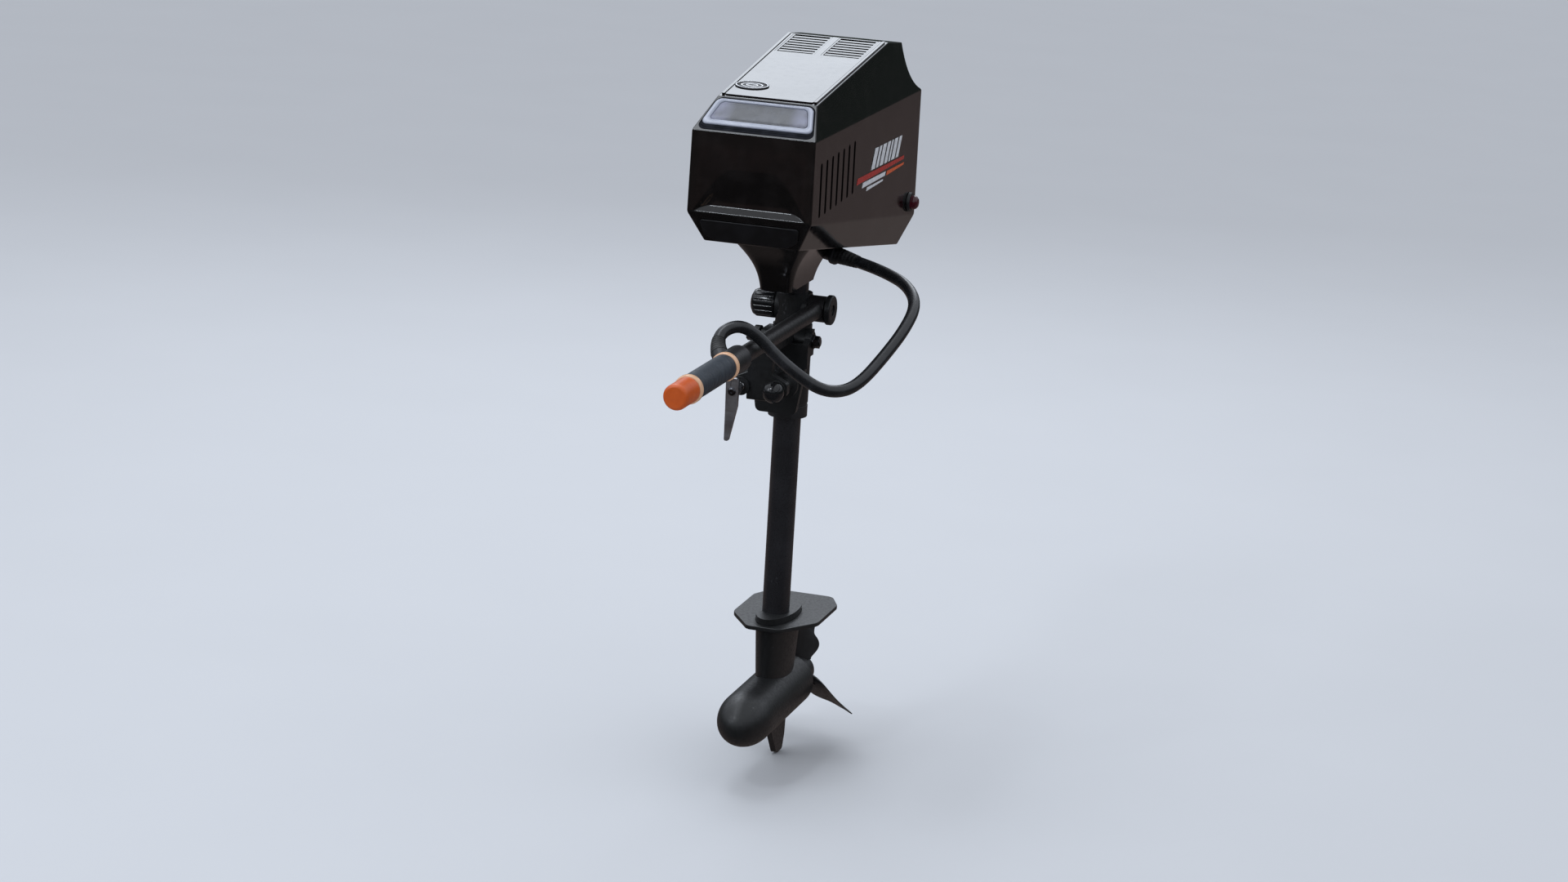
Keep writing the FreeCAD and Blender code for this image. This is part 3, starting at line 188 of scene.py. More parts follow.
# section across the pane: distance in from the frame, height off the slope
PANE_SECTION = [(0.0002, 0.0), (0.0002, 0.0008), (0.0010, 0.0013), (0.0022, 0.0011), (0.0050, 0.0007),
                (0.0090, 0.0005), (0.0140, 0.0004)]

# printed films on both sides of the head: first y, last y, low z, high z, share of the height left at the end
FILM_THICK = 0.00016
FILM_GAP = 0.00002
FILM_SLANT = 0.55
FILMS = {
    "white": [(0.078, 0.190, 0.2100, 0.2170, 0.8), (0.100, 0.180, 0.2030, 0.2078, 0.5)],
    "red": [(0.050, 0.282, 0.2180, 0.2265, 0.6)],
    "orange": [(0.196, 0.284, 0.2105, 0.2165, 0.5)],
}
BAR_WIDTHS = (0.017, 0.011, 0.017, 0.014, 0.008, 0.017, 0.013)
BAR_GAP = 0.0062
BAR_START = 0.118
BAR_Z = (0.2290, 0.2570)

# lower unit and clamp
POD_FRONT_Y = -0.030
POD_R = 0.038
PROP_Z = -0.520
NOSE_LENGTH = 0.062
NOSE_STEPS = 28
NOSE_TIP_R = 0.0003
PADDLE_FRONT_Y = -0.1026

# control cable
CABLE_R = 0.008
RELIEF_STEPS = 24
RELIEF_AT_HEAD = 0.034
RELIEF_AT_TILLER = 0.024
RELIEF_WALL = 0.0035
RELIEF_TAPER = 0.0027
RELIEF_RIB = 0.0008
CABLE_ROUTE = [
    (0.046, 0.124, 0.106), (0.080, 0.112, 0.102), (0.122, 0.090, 0.097), (0.164, 0.056, 0.090),
    (0.190, 0.012, 0.074), (0.190, -0.042, 0.050), (0.178, -0.096, 0.022), (0.164, -0.148, -0.003),
    (0.148, -0.178, -0.012), (0.124, -0.198, -0.008), (0.096, -0.212, 0.012), (0.068, -0.222, 0.036),
    (0.048, -0.232, 0.060), (0.028, -0.248, 0.076), (0.010, -0.264, 0.070), (0.007, -0.280, 0.056),
    (0.016, -0.294, 0.046),
]


# ---------------------------------------------------------------- materials

class Look:
    """A procedural material in the making: one Principled shader and the nodes that feed it."""

    def __init__(self, name, roughness=0.5, metallic=0.0):
        self.material = bpy.data.materials.new(name)
        self.material.use_nodes = True
        self.nodes = self.material.node_tree.nodes
        self.links = self.material.node_tree.links
        self.shader = self.nodes["Principled BSDF"]
        self.shader.inputs["Roughness"].default_value = roughness
        self.shader.inputs["Metallic"].default_value = metallic
        self.coordinates = self.nodes.new("ShaderNodeTexCoord").outputs["Object"]
        self.height = None

    def stretched(self, stretch):
        """Object coordinates, scaled along each axis."""
        mapping = self.nodes.new("ShaderNodeMapping")
        mapping.inputs["Scale"].default_value = stretch
        self.links.new(self.coordinates, mapping.inputs["Vector"])
        return mapping.outputs["Vector"]

    def noise(self, scale, detail=2.0, stretch=None):
        """Soft noise, with scale in features a metre."""
        texture = self.nodes.new("ShaderNodeTexNoise")
        texture.inputs["Scale"].default_value = scale
        texture.inputs["Detail"].default_value = detail
        source = self.stretched(stretch) if stretch else self.coordinates
        self.links.new(source, texture.inputs["Vector"])
        return texture.outputs["Fac"]

    def grains(self, scale):
        """Cells with a dark middle, for cast and moulded textures."""
        texture = self.nodes.new("ShaderNodeTexVoronoi")
        texture.inputs["Scale"].default_value = scale
        self.links.new(self.coordinates, texture.inputs["Vector"])
        return texture.outputs["Distance"]

    def off_centre(self):
        """Distance from the boat's centre line, in metres."""
        split = self.nodes.new("ShaderNodeSeparateXYZ")
        size = self.nodes.new("ShaderNodeMath")
        size.operation = "ABSOLUTE"
        self.links.new(self.coordinates, split.inputs["Vector"])
        self.links.new(split.outputs["X"], size.inputs[0])
        return size.outputs["Value"]

    def spread(self, value, low, high, to_low=0.0, to_high=1.0):
        """Map the span low..high to another one, smoothly and clamped."""
        span = self.nodes.new("ShaderNodeMapRange")
        span.interpolation_type = "SMOOTHSTEP"
        limits = {"From Min": low, "From Max": high, "To Min": to_low, "To Max": to_high}
        for socket, number in limits.items():
            span.inputs[socket].default_value = number
        self.links.new(value, span.inputs["Value"])
        return span.outputs["Result"]

    def product(self, first, second):
        """Two masks multiplied."""
        times = self.nodes.new("ShaderNodeMath")
        times.operation = "MULTIPLY"
        self.links.new(first, times.inputs[0])
        self.links.new(second, times.inputs[1])
        return times.outputs["Value"]

    def blended(self, mask, first, second):
        """A colour between two, each a colour or a socket."""
        mix = self.nodes.new("ShaderNodeMix")
        mix.data_type = "RGBA"
        self.links.new(mask, mix.inputs["Factor"])
        for socket, colour in ((mix.inputs[6], first), (mix.inputs[7], second)):
            if isinstance(colour, tuple):
                socket.default_value = (*colour, 1.0)
            else:
                self.links.new(colour, socket)
        return mix.outputs[2]

    def colour(self, value):
        """Set the base colour from a socket."""
        self.links.new(value, self.shader.inputs["Base Color"])

    def roughness(self, value):
        """Set the roughness from a socket."""
        self.links.new(value, self.shader.inputs["Roughness"])

    def bump(self, value, depth):
        """Add relief of that depth in metres."""
        bump = self.nodes.new("ShaderNodeBump")
        bump.inputs["Strength"].default_value = 1.0
        bump.inputs["Distance"].default_value = depth
        self.links.new(value, bump.inputs["Height"])
        if self.height:
            self.links.new(self.height, bump.inputs["Normal"])
        self.height = bump.outputs["Normal"]
        self.links.new(self.height, self.shader.inputs["Normal"])


def gloss_plastic(name, dark, light, roughness=(0.07, 0.16), wave=0.0006):
    """Moulded glossy plastic: faint waviness, hazy patches and settled dust."""
    look = Look(name)
    dust = look.spread(look.noise(38, 8), 0.45, 0.75)
    look.colour(look.blended(dust, dark, light))
    look.roughness(look.spread(look.noise(95, 6), 0.35, 0.7, *roughness))
    look.bump(look.noise(9, 1), wave)
    look.bump(look.noise(1400, 2), 0.000004)
    return look.material


def cast_paint(name, colour, worn, grain=0.00005, roughness=(0.34, 0.52)):
    """Powder-coated casting: a fine pebbled coat with a few small scuffs."""
    look = Look(name)
    areas = look.spread(look.noise(30, 3), 0.58, 0.72)
    marks = look.spread(look.noise(420, 6), 0.60, 0.70)
    scuffs = look.product(areas, marks)
    faded = tuple(c * 1.4 for c in colour)
    patches = look.blended(look.spread(look.noise(22, 5), 0.4, 0.7), colour, faded)
    look.colour(look.blended(scuffs, patches, worn))
    look.roughness(look.spread(look.noise(260, 4), 0.3, 0.7, *roughness))
    look.bump(look.grains(1100), grain)
    return look.material


def satin_plastic(name, colour, grain=0.00002, roughness=(0.34, 0.5)):
    """Moulded nylon: an even satin with a fine spark-eroded grain."""
    look = Look(name)
    polished = tuple(c * 1.8 for c in colour)
    look.colour(look.blended(look.spread(look.noise(45, 6), 0.4, 0.7), colour, polished))
    look.roughness(look.spread(look.noise(300, 3), 0.3, 0.7, *roughness))
    look.bump(look.noise(1800, 2), grain)
    return look.material


def rubber(name, colour, bloom, grain=0.00004, roughness=(0.5, 0.68)):
    """Soft rubber with a pale bloom in patches."""
    look = Look(name)
    look.colour(look.blended(look.spread(look.noise(55, 7), 0.42, 0.72), colour, bloom))
    look.roughness(look.spread(look.noise(210, 4), 0.3, 0.7, *roughness))
    look.bump(look.grains(1500), grain)
    return look.material


def bare_metal(name, colour, dull, stretch=(30, 30, 900), roughness=(0.22, 0.4)):
    """Machined or drawn metal, with fine lines along one axis and dull patches."""
    look = Look(name, metallic=1.0)
    look.colour(look.blended(look.spread(look.noise(60, 6), 0.42, 0.7), colour, dull))
    look.roughness(look.spread(look.noise(1, 4, stretch), 0.3, 0.7, *roughness))
    look.bump(look.noise(1, 2, stretch), 0.00001)
    return look.material


def wound_copper():
    """Enamelled windings: fine turns across the core."""
    look = Look("copper_winding", metallic=0.9)
    look.colour(look.blended(look.noise(90, 4), (0.55, 0.24, 0.11), (0.35, 0.13, 0.06)))
    look.roughness(look.spread(look.noise(220, 3), 0.3, 0.7, 0.25, 0.45))
    look.bump(look.noise(1, 1, (60, 60, 1800)), 0.0001)
    return look.material


def smoked_pane():
    """Smoked plastic window: dark in the middle, with a painted reflection in patches towards both ends."""
    look = Look("window_smoke")
    # painted reflection: a pale bluish colour in patches towards both ends of the pane, standing in for the
    # sky mirrored there
    ends = look.spread(look.off_centre(), 0.034, 0.058)
    painted_end_reflection = look.product(ends, look.spread(look.noise(26, 3), 0.25, 0.65))
    stains = look.spread(look.noise(60, 5), 0.4, 0.7)
    pane = look.blended(stains, (0.012, 0.013, 0.020), (0.022, 0.024, 0.036))
    look.colour(look.blended(painted_end_reflection, pane, (0.15, 0.155, 0.23)))
    look.roughness(look.spread(look.noise(90, 5), 0.3, 0.7, 0.16, 0.26))
    look.bump(look.noise(40, 2), 0.00012)
    return look.material


def matt_seal_and_shade():
    """Soft matt black that hardly shines at all; on the band round the window and the strips behind the vents
    it is painted shade.
    """
    look = Look("seal_black", roughness=0.8)
    look.shader.inputs["Specular IOR Level"].default_value = 0.12
    stains = look.spread(look.noise(80, 6), 0.4, 0.7)
    look.colour(look.blended(stains, (0.006, 0.007, 0.010), (0.014, 0.015, 0.02)))
    look.bump(look.grains(1600), 0.00003)
    return look.material


def raw_casting(name, colour, dull):
    """Bare cast metal, rough and pitted."""
    look = Look(name, metallic=0.9)
    look.colour(look.blended(look.spread(look.noise(70, 8), 0.4, 0.65), colour, dull))
    look.roughness(look.spread(look.noise(180, 5), 0.3, 0.7, 0.42, 0.7))
    look.bump(look.grains(700), 0.00012)
    return look.material


def printed_film(name, colour):
    """Vinyl film: slightly worn colour with a soft gloss."""
    look = Look("film_" + name)
    faded = tuple(0.8 * c + 0.02 for c in colour)
    look.colour(look.blended(look.spread(look.noise(150, 6), 0.45, 0.75), colour, faded))
    look.roughness(look.spread(look.noise(90, 3), 0.3, 0.7, 0.22, 0.36))
    look.bump(look.noise(700, 2), 0.000006)
    return look.material


LOOKS = {
    "casting_black": lambda: cast_paint("casting_black", (0.0075, 0.008, 0.0085), (0.09, 0.09, 0.095)),
    "rubber_black": lambda: rubber("rubber_black", (0.012, 0.012, 0.012), (0.03, 0.03, 0.03)),
    "zinc_steel": lambda: bare_metal("zinc_steel", (0.55, 0.56, 0.58), (0.36, 0.36, 0.37)),
    "lever_alloy": lambda: bare_metal("lever_alloy", (0.62, 0.63, 0.67), (0.48, 0.48, 0.52), (25, 25, 300),
                                      (0.30, 0.42)),
    "knob_black": lambda: gloss_plastic("knob_black", (0.008, 0.008, 0.009), (0.014, 0.014, 0.015)),
    "nylon_black": lambda: satin_plastic("nylon_black", (0.011, 0.011, 0.012)),
    "tube_black": lambda: cast_paint("tube_black", (0.012, 0.012, 0.014), (0.07, 0.07, 0.075), 0.000008,
                                     (0.26, 0.36)),
    "cowl_black": lambda: gloss_plastic("cowl_black", (0.0050, 0.0043, 0.0042), (0.0095, 0.0080, 0.0078)),
    "panel_dark": lambda: satin_plastic("panel_dark", (0.004, 0.004, 0.005)),
    "window_smoke": smoked_pane,
    "badge_dark": lambda: satin_plastic("badge_dark", (0.010, 0.010, 0.012), 0.00002, (0.6, 0.75)),
    "cable_black": lambda: rubber("cable_black", (0.010, 0.0105, 0.012), (0.020, 0.021, 0.024), 0.00001,
                                  (0.22, 0.32)),
    "bare_aluminium": lambda: bare_metal("bare_aluminium", (0.72, 0.73, 0.75), (0.5, 0.5, 0.52),
                                         (500, 500, 30)),
    "lead_red": lambda: rubber("lead_red", (0.35, 0.02, 0.015), (0.42, 0.05, 0.04)),
    "bearing_steel": lambda: bare_metal("bearing_steel", (0.62, 0.62, 0.64), (0.45, 0.45, 0.47),
                                        (400, 400, 30), (0.1, 0.25)),
    "zinc_anode": lambda: raw_casting("zinc_anode", (0.5, 0.52, 0.55), (0.3, 0.31, 0.33)),
    "copper_winding": wound_copper,
    "propeller_black": lambda: satin_plastic("propeller_black", (0.012, 0.012, 0.013), 0.00003),
    "tiller_grey": lambda: cast_paint("tiller_grey", (0.009, 0.0085, 0.009), (0.07, 0.07, 0.075), 0.00002),
    "grip_rubber": lambda: rubber("grip_rubber", (0.022, 0.029, 0.039), (0.031, 0.040, 0.052), 0.00003),
    "ring_orange": lambda: gloss_plastic("ring_orange", (0.72, 0.42, 0.25), (0.78, 0.50, 0.32), (0.14, 0.24)),
    "cap_orange": lambda: rubber("cap_orange", (0.56, 0.082, 0.003), (0.62, 0.10, 0.006), 0.00001,
                                 (0.34, 0.44)),
    "button_red": lambda: gloss_plastic("button_red", (0.050, 0.004, 0.010), (0.075, 0.008, 0.014),
                                        (0.15, 0.25)),
    "window_frame": lambda: gloss_plastic("window_frame", (0.34, 0.36, 0.43), (0.42, 0.44, 0.51),
                                          (0.16, 0.26), 0.0002),
    # this matt black is painted shade on the band round the window and the strips behind the vents
    "seal_black": matt_seal_and_shade,
    "bolt_black": lambda: bare_metal("bolt_black", (0.10, 0.10, 0.11), (0.06, 0.06, 0.065), (60, 60, 60)),
}
FILM_COLOURS = {"white": (0.72, 0.73, 0.75), "red": (0.42, 0.02, 0.015), "orange": (0.68, 0.10, 0.02)}
looks = {slot: make() for slot, make in LOOKS.items()}
looks.update({"film_" + name: printed_film(name, colour) for name, colour in FILM_COLOURS.items()})


# ---------------------------------------------------------------- mesh helpers

def mesh_object(name, mesh):
    """A new object for a mesh, linked to the scene."""
    piece = bpy.data.objects.new(name, mesh)
    bpy.context.scene.collection.objects.link(piece)
    return piece


def from_bmesh(name, bm):
    """A new object from a bmesh, which is freed."""
    mesh = bpy.data.meshes.new(name)
    bmesh.ops.recalc_face_normals(bm, faces=bm.faces)
    bm.to_mesh(mesh)
    bm.free()
    return mesh_object(name, mesh)


def modify(piece, kind, **settings):
    """Add a modifier with its settings."""
    modifier = piece.modifiers.new(kind.lower(), kind)
    for setting, value in settings.items():
        setattr(modifier, setting, value)
    return modifier


def applied(piece):
    """Turn the piece's modifiers into plain geometry."""
    depsgraph = bpy.context.evaluated_depsgraph_get()
    mesh = bpy.data.meshes.new_from_object(piece.evaluated_get(depsgraph), depsgraph=depsgraph)
    piece.modifiers.clear()
    piece.data = mesh
    return piece


def smoothed(piece, angle=38.0):
    """Smooth shading that stays flat on broad faces and sharp over an angle."""
    piece.data.polygons.foreach_set("use_smooth", [True] * len(piece.data.polygons))
    piece.data.set_sharp_from_angle(angle=math.radians(angle))
    modify(piece, "WEIGHTED_NORMAL", keep_sharp=True)
    return applied(piece)


def placed(piece, body, look, *replaced):
    """Give a finished piece its look, its body and the CAD nodes it stands for."""
    piece.data.materials.clear()
    piece.data.materials.append(looks[look])
    if body:
        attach(piece, body)
    if replaced:
        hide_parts(*replaced)
    return piece


def softened(node, width, segments=2):
    """The CAD node's shape with its sharp edges rounded, standing for it."""
    bm = bmesh.new()
    bm.from_mesh(nodes[node].data)
    bmesh.ops.remove_doubles(bm, verts=bm.verts, dist=1e-6)
    bmesh.ops.dissolve_limit(bm, angle_limit=math.radians(0.6), verts=bm.verts, edges=bm.edges)
    piece = from_bmesh(node + "_shape", bm)
    modify(piece, "BEVEL", width=width, segments=segments, limit_method="ANGLE", angle_limit=math.radians(35),
           miter_outer="MITER_ARC", use_clamp_overlap=True)
    smoothed(applied(piece))
    return placed(piece, bodies[node], slots[node], node)


def block(bm, low, high):
    """Add a box from its corners."""
    made = bmesh.ops.create_cube(bm, size=1.0)
    middle = (Vector(low) + Vector(high)) / 2
    for vert in made["verts"]:
        vert.co = Vector(c * (h - l) for c, l, h in zip(vert.co, low, high)) + middle


# ---------------------------------------------------------------- motor head

def mixed(span, share):
    """The value at a share of the way along a span."""
    return span[0] + (span[1] - span[0]) * share


def lean_at(y):
    """How far the shoulder leans in for each metre of height."""
    for (y0, lean0), (y1, lean1) in zip(SHOULDER_LEAN, SHOULDER_LEAN[1:]):
        if y <= y1:
            return mixed((lean0, lean1), (y - y0) / (y1 - y0))
    return SHOULDER_LEAN[-1][1]


def side_half(y):
    """Half-width of the head's flat side at y."""
    return mixed(SIDE_HALF, (y - HEAD_LENGTH[0]) / (HEAD_LENGTH[1] - HEAD_LENGTH[0]))


def shoulder_half(y, z):
    """Half-width of the head above its crease."""
    crease = mixed(CREASE_Z, (y - HEAD_LENGTH[0]) / (HEAD_LENGTH[1] - HEAD_LENGTH[0]))
    return side_half(y) - lean_at(y) * max(0.0, z - crease)


def arc_points(start, middle, end, count):
    """Points strictly between start and end on a parabola-like bend through middle."""
    control = [2 * m - (s + e) / 2 for s, m, e in zip(start, middle, end)]
    points = []
    for i in range(1, count + 1):
        t = i / (count + 1)
        points.append(tuple((1 - t) ** 2 * s + 2 * t * (1 - t) * c + t * t * e
                            for s, c, e in zip(start, control, end)))
    return points


def cowl_hull():
    """The head's outer faces, with bevel weights on the edges to round."""
    hollow = arc_points(TAIL_TOP, TAIL_HOLLOW, TAIL_CORNER, HOLLOW_STEPS)
    outline = [BELLY_FRONT, LEDGE, BROW, WINDOW_TOP, ROOF_REAR, TAIL_TOP, *hollow, TAIL_CORNER, TAIL_LOW,
               BELLY_REAR]
    bm = bmesh.new()
    rows = []
    for y, z in outline:
        half = shoulder_half(y, z) - (SKIRT_IN if (y, z) in (BELLY_FRONT, BELLY_REAR) else 0.0)
        rows.append((bm.verts.new((-half, y, z)), bm.verts.new((half, y, z))))
    count = len(rows)
    for i, (left, right) in enumerate(rows):
        next_left, next_right = rows[(i + 1) % count]
        bm.faces.new((left, right, next_right, next_left))
    corner, low, rear = count - 3, count - 2, count - 1
    for side in (0, 1):
        bm.faces.new([rows[i][side] for i in range(2, corner + 1)])
        bm.faces.new([rows[i][side] for i in (1, 2, corner, low)])
        bm.faces.new([rows[i][side] for i in (0, 1, low, rear)])
    first = outline.index(TAIL_TOP) + 1
    weigh_edges(bm, rows, range(first, first + len(hollow)))
    return from_bmesh("cowl_shell", bm)


def weigh_edges(bm, rows, smooth_rows):
    """Set how round each edge of the head is: brow and ledge crisp, corners and creases soft.

    Rows count from the belly's front: 1 the ledge, 2 the brow, 3 the window's top, 4 and 5 the roof's rear.
    """
    weights = bm.edges.layers.float.new("bevel_weight_edge")
    place = {vert: i for i, row in enumerate(rows) for vert in row}
    for edge in bm.edges:
        first, second = (place[vert] for vert in edge.verts)
        across = first == second
        if across and first in smooth_rows:
            continue
        if across:
            edge[weights] = CRISP_EDGES.get(first, OTHER_ACROSS)
        elif {first, second} == {2, 3}:
            edge[weights] = WINDOW_SIDE
        elif min(first, second) >= 3 and abs(first - second) == 1 and max(first, second) <= 5:
            edge[weights] = ROOF_SIDE
        else:
            edge[weights] = OTHER_SIDE


def eased(share):
    """A share clamped to 0..1, with a soft start and end."""
    share = min(1.0, max(0.0, share))
    return share * share * (3 - 2 * share)


def recess_depth(x, z):
    """How deep the front face is set in: a broad hollow, and a scoop that ends at the ledge's lip."""
    across = abs(x) / FRONT_HALF
    height = z - LEDGE[1] - FRONT_RIM
    up = height / (BROW[1] - LEDGE[1])
    if across >= 1 or not 0.0 < up < 1.0:
        return 0.0
    start, fade = HOLLOW_FADE
    broad = eased((1.0 - across) / HOLLOW_EDGE) * (1.0 - eased((up - start) / fade))
    scoop = eased((SCOOP_REACH - up - across) / SCOOP_EDGE) * eased((SCOOP_TOP - up) / SCOOP_FADE)
    return min(HOLLOW_DEPTH * broad + SCOOP_DEPTH * scoop, LIP_SLOPE * height)


def hollow_front(piece):
    """Work the front face into its recess."""
    bm = bmesh.new()
    bm.from_mesh(piece.data)
    front = max((f for f in bm.faces if f.normal.y < -0.99), key=lambda f: f.calc_area())
    bmesh.ops.inset_individual(bm, faces=[front], thickness=FRONT_RIM)
    bmesh.ops.subdivide_edges(bm, edges=list(front.edges), cuts=FRONT_CUTS, use_grid_fill=True)
    for vert in bm.verts:
        if vert.co.y < BROW[0] + FRONT_BAND:
            vert.co.y += recess_depth(vert.co.x, vert.co.z)
    bm.to_mesh(piece.data)
    bm.free()


def roof_z(y):
    """Height of the head's roof at y."""
    return mixed((WINDOW_TOP[1], ROOF_REAR[1]), (y - WINDOW_TOP[0]) / (ROOF_REAR[0] - WINDOW_TOP[0]))


def slot_cutter(bm, y, low, high):
    """A long upright slot with round ends, through both sides of the head."""
    ring = []
    for centre, start in ((high, 0.0), (low, math.pi)):
        for i in range(VENT_END_STEPS + 1):
            angle = start + math.pi * i / VENT_END_STEPS
            ring.append((y + VENT_HALF * math.cos(angle), centre + VENT_HALF * math.sin(angle)))
    for side in (1, -1):
        x0, x1 = sorted(side * x for x in VENT_CUT_X)
        inner = [bm.verts.new((x0, py, pz)) for py, pz in ring]
        outer = [bm.verts.new((x1, py, pz)) for py, pz in ring]
        bm.faces.new(inner)
        bm.faces.new(outer)
        for i in range(len(ring)):
            j = (i + 1) % len(ring)
            bm.faces.new((inner[i], inner[j], outer[j], outer[i]))


def cowl_cutters():
    """Everything cut out of the cowl: vents, roof openings, button hole and the belly's rear edge."""
    bm = bmesh.new()
    for i in range(VENT_COUNT):
        lift = i * VENT_LIFT
        y = VENT_FIRST_Y + i * VENT_PITCH
        slot_cutter(bm, y, VENT_Z[0] + lift + VENT_HALF, VENT_Z[1] + lift - VENT_HALF)
    for side in (-1, 1):
        x = sorted((side * GRILLE_X[0], side * GRILLE_X[1]))
        bottom = roof_z(GRILLE_Y[0]) - GRILLE_CUT_DOWN
        block(bm, (x[0], GRILLE_Y[0], bottom), (x[1], GRILLE_Y[1], GRILLE_CUT_TOP))
    y = (BELLY_FRONT[0] + BELLY_TRIM_IN, BELLY_REAR[0])
    block(bm, (-PAN_HALF, y[0], BELLY_TRIM_Z[0]), (PAN_HALF, y[1], BELLY_TRIM_Z[1]))
    hole = bmesh.ops.create_cone(bm, cap_ends=True, segments=48, radius1=BUTTON_HOLE_R, radius2=BUTTON_HOLE_R,
                                 depth=BUTTON_HOLE_DEPTH)
    for vert in hole["verts"]:
        vert.co = Vector((SIDE_HALF[0] + vert.co.z, BUTTON_AT[0] + vert.co.x, BUTTON_AT[1] + vert.co.y))
    return from_bmesh("cowl_cutters", bm)


def cowl_shell():
    """The glossy one-piece cowl."""
    piece = cowl_hull()
    modify(piece, "BEVEL", width=EDGE_ROUND, segments=5, limit_method="WEIGHT", use_clamp_overlap=True)
    applied(piece)
    hollow_front(piece)
    modify(piece, "SOLIDIFY", thickness=COWL_WALL, offset=-1.0, use_even_offset=True)
    applied(piece)
    cutters = cowl_cutters()
    modify(piece, "BOOLEAN", operation="DIFFERENCE", object=cutters, solver="EXACT")
    applied(piece)
    bpy.data.objects.remove(cutters)
    return placed(smoothed(piece, 50.0), "motor_unit", "cowl_black", "upper_cowl")


def slope_ring(outline, corner, lift):
    """Points round a rounded outline on the window's slope, lifted off it."""
    low, high, low_half, high_half = outline
    tall, wide = (high - low) / 2, (low_half + high_half) / 2
    rise = Vector((0.0, WINDOW_TOP[0] - BROW[0], WINDOW_TOP[1] - BROW[1])).normalized()
    away = Vector((0.0, -rise.z, rise.y))
    points = []
    for turn, (side, end) in enumerate(((1, -1), (1, 1), (-1, 1), (-1, -1))):
        for i in range(CORNER_STEPS + 1):
            angle = math.pi / 2 * (turn - 1 + i / CORNER_STEPS)
            up = tall + end * (tall - corner) + corner * math.sin(angle)
            taper = mixed((low_half, high_half), up / (2 * tall)) / wide
            x = (side * (wide - corner) + corner * math.cos(angle)) * taper
            points.append(Vector((x, *BROW)) + rise * (low + up) + away * lift)
    return points


def between(first, second, share):
    """An outline part of the way from one to another."""
    return tuple(mixed(pair, share) for pair in zip(first, second))


def stacked_rings(name, rings, capped):
    """A closed shape through rings of points: capped at both ends, or joined last to first."""
    bm = bmesh.new()
    loops = [[bm.verts.new(point) for point in ring] for ring in rings]
    pairs = list(zip(loops, loops[1:]))
    if not capped:
        pairs.append((loops[-1], loops[0]))
    for first, second in pairs:
        for i in range(len(first)):
            j = (i + 1) % len(first)
            bm.faces.new((first[i], first[j], second[j], second[i]))
    if capped:
        bm.faces.new(loops[0])
        bm.faces.new(loops[-1])
    return from_bmesh(name, bm)


def window_band(name, outer, inner, section, corners, angle):
    """A closed band with a shaped section between two outlines of the window."""
    rings = []
    for share, lift in section:
        corner = mixed(corners, share)
        rings.append(slope_ring(between(outer, inner, share), corner, lift))
    return smoothed(stacked_rings(name, rings, False), angle)


def window():
    """The smoked pane, its rounded frame and a matt black band round the frame, which is painted shade for
    the groove there.
    """
    surround = window_band("window_frame_shape", FRAME_OUTER, FRAME_INNER, FRAME_SECTION, FRAME_CORNERS, 50.0)
    placed(surround, "motor_unit", "window_frame", "window_frame")
    low, high, low_half, high_half = FRAME_INNER
    rings = []
    for inset, lift in PANE_SECTION:
        outline = (low + inset, high - inset, low_half - inset, high_half - inset)
        rings.append(slope_ring(outline, max(PANE_CORNER - inset, PANE_CORNER_LEAST), lift))
    pane = smoothed(stacked_rings("window_pane", rings, True), 50.0)
    placed(pane, "motor_unit", "window_smoke", "window_panel")
    # a matt black band round the frame: painted shade for the groove there
    shade_band = window_band("window_painted_shade", SHADE_BAND_OUTER, FRAME_OUTER, SHADE_BAND_SECTION, SHADE_BAND_CORNERS, 30.0)
    placed(shade_band, "motor_unit", "seal_black")


def vent_shade_strips():
    """A dark pleated strip behind the vents of each side, painted shade for the dark inside of the head that
    keeps light from showing through.
    """
    low, high = SHADE_STRIP_Z
    for name, side in (("vent_shade_port", 1), ("vent_shade_starboard", -1)):
        rings = []
        for i in range(2 * PLEAT_COUNT + 1):
            y = mixed(SHADE_STRIP_Y, i / (2 * PLEAT_COUNT))
            face = side_half(y) - COWL_WALL - SHADE_STRIP_GAP
            outer = side * (face - PLEAT_DEPTH * (i % 2))
            inner = side * (face - SHADE_STRIP_THICK)
            ring = ((outer, low), (outer, high), (inner, high), (inner, low))
            rings.append([Vector((x, y, z)) for x, z in ring])
        placed(smoothed(stacked_rings(name, rings, True), 20.0), "motor_unit", "seal_black")


def badge_ring(bm, half_length, half_width, line, lift):
    """Add one thin printed oval line to the badge."""
    turn = math.atan2(ROOF_REAR[1] - WINDOW_TOP[1], ROOF_REAR[0] - WINDOW_TOP[0])
    rise = Vector((0.0, math.cos(turn), math.sin(turn)))
    away = Vector((0.0, -rise.z, rise.y))
    middle = Vector((BADGE_AT[0], 0.0, roof_z(0.0))) + rise * BADGE_AT[1]
    loops = []
    for narrower, height in ((0.0, 0.0), (0.0, FILM_THICK), (line, FILM_THICK), (line, 0.0)):
        loop = []
        for i in range(OVAL_STEPS):
            angle = 2 * math.pi * i / OVAL_STEPS
            across = Vector(((half_length - narrower) * math.cos(angle), 0.0, 0.0))
            along = rise * ((half_width - narrower) * math.sin(angle))
            loop.append(bm.verts.new(middle + across + along + away * (lift + height)))
        loops.append(loop)
    for first, second in zip(loops, loops[1:] + loops[:1]):
        for i in range(OVAL_STEPS):
            j = (i + 1) % OVAL_STEPS
            bm.faces.new((first[i], first[j], second[j], second[i]))


def badge_print():
    """Three light oval lines on the badge, one on its rim and two in its recess."""
    bm = bmesh.new()
    for oval in BADGE_OVALS:
        badge_ring(bm, *oval)
    placed(from_bmesh("badge_print", bm), "motor_unit", "film_white")


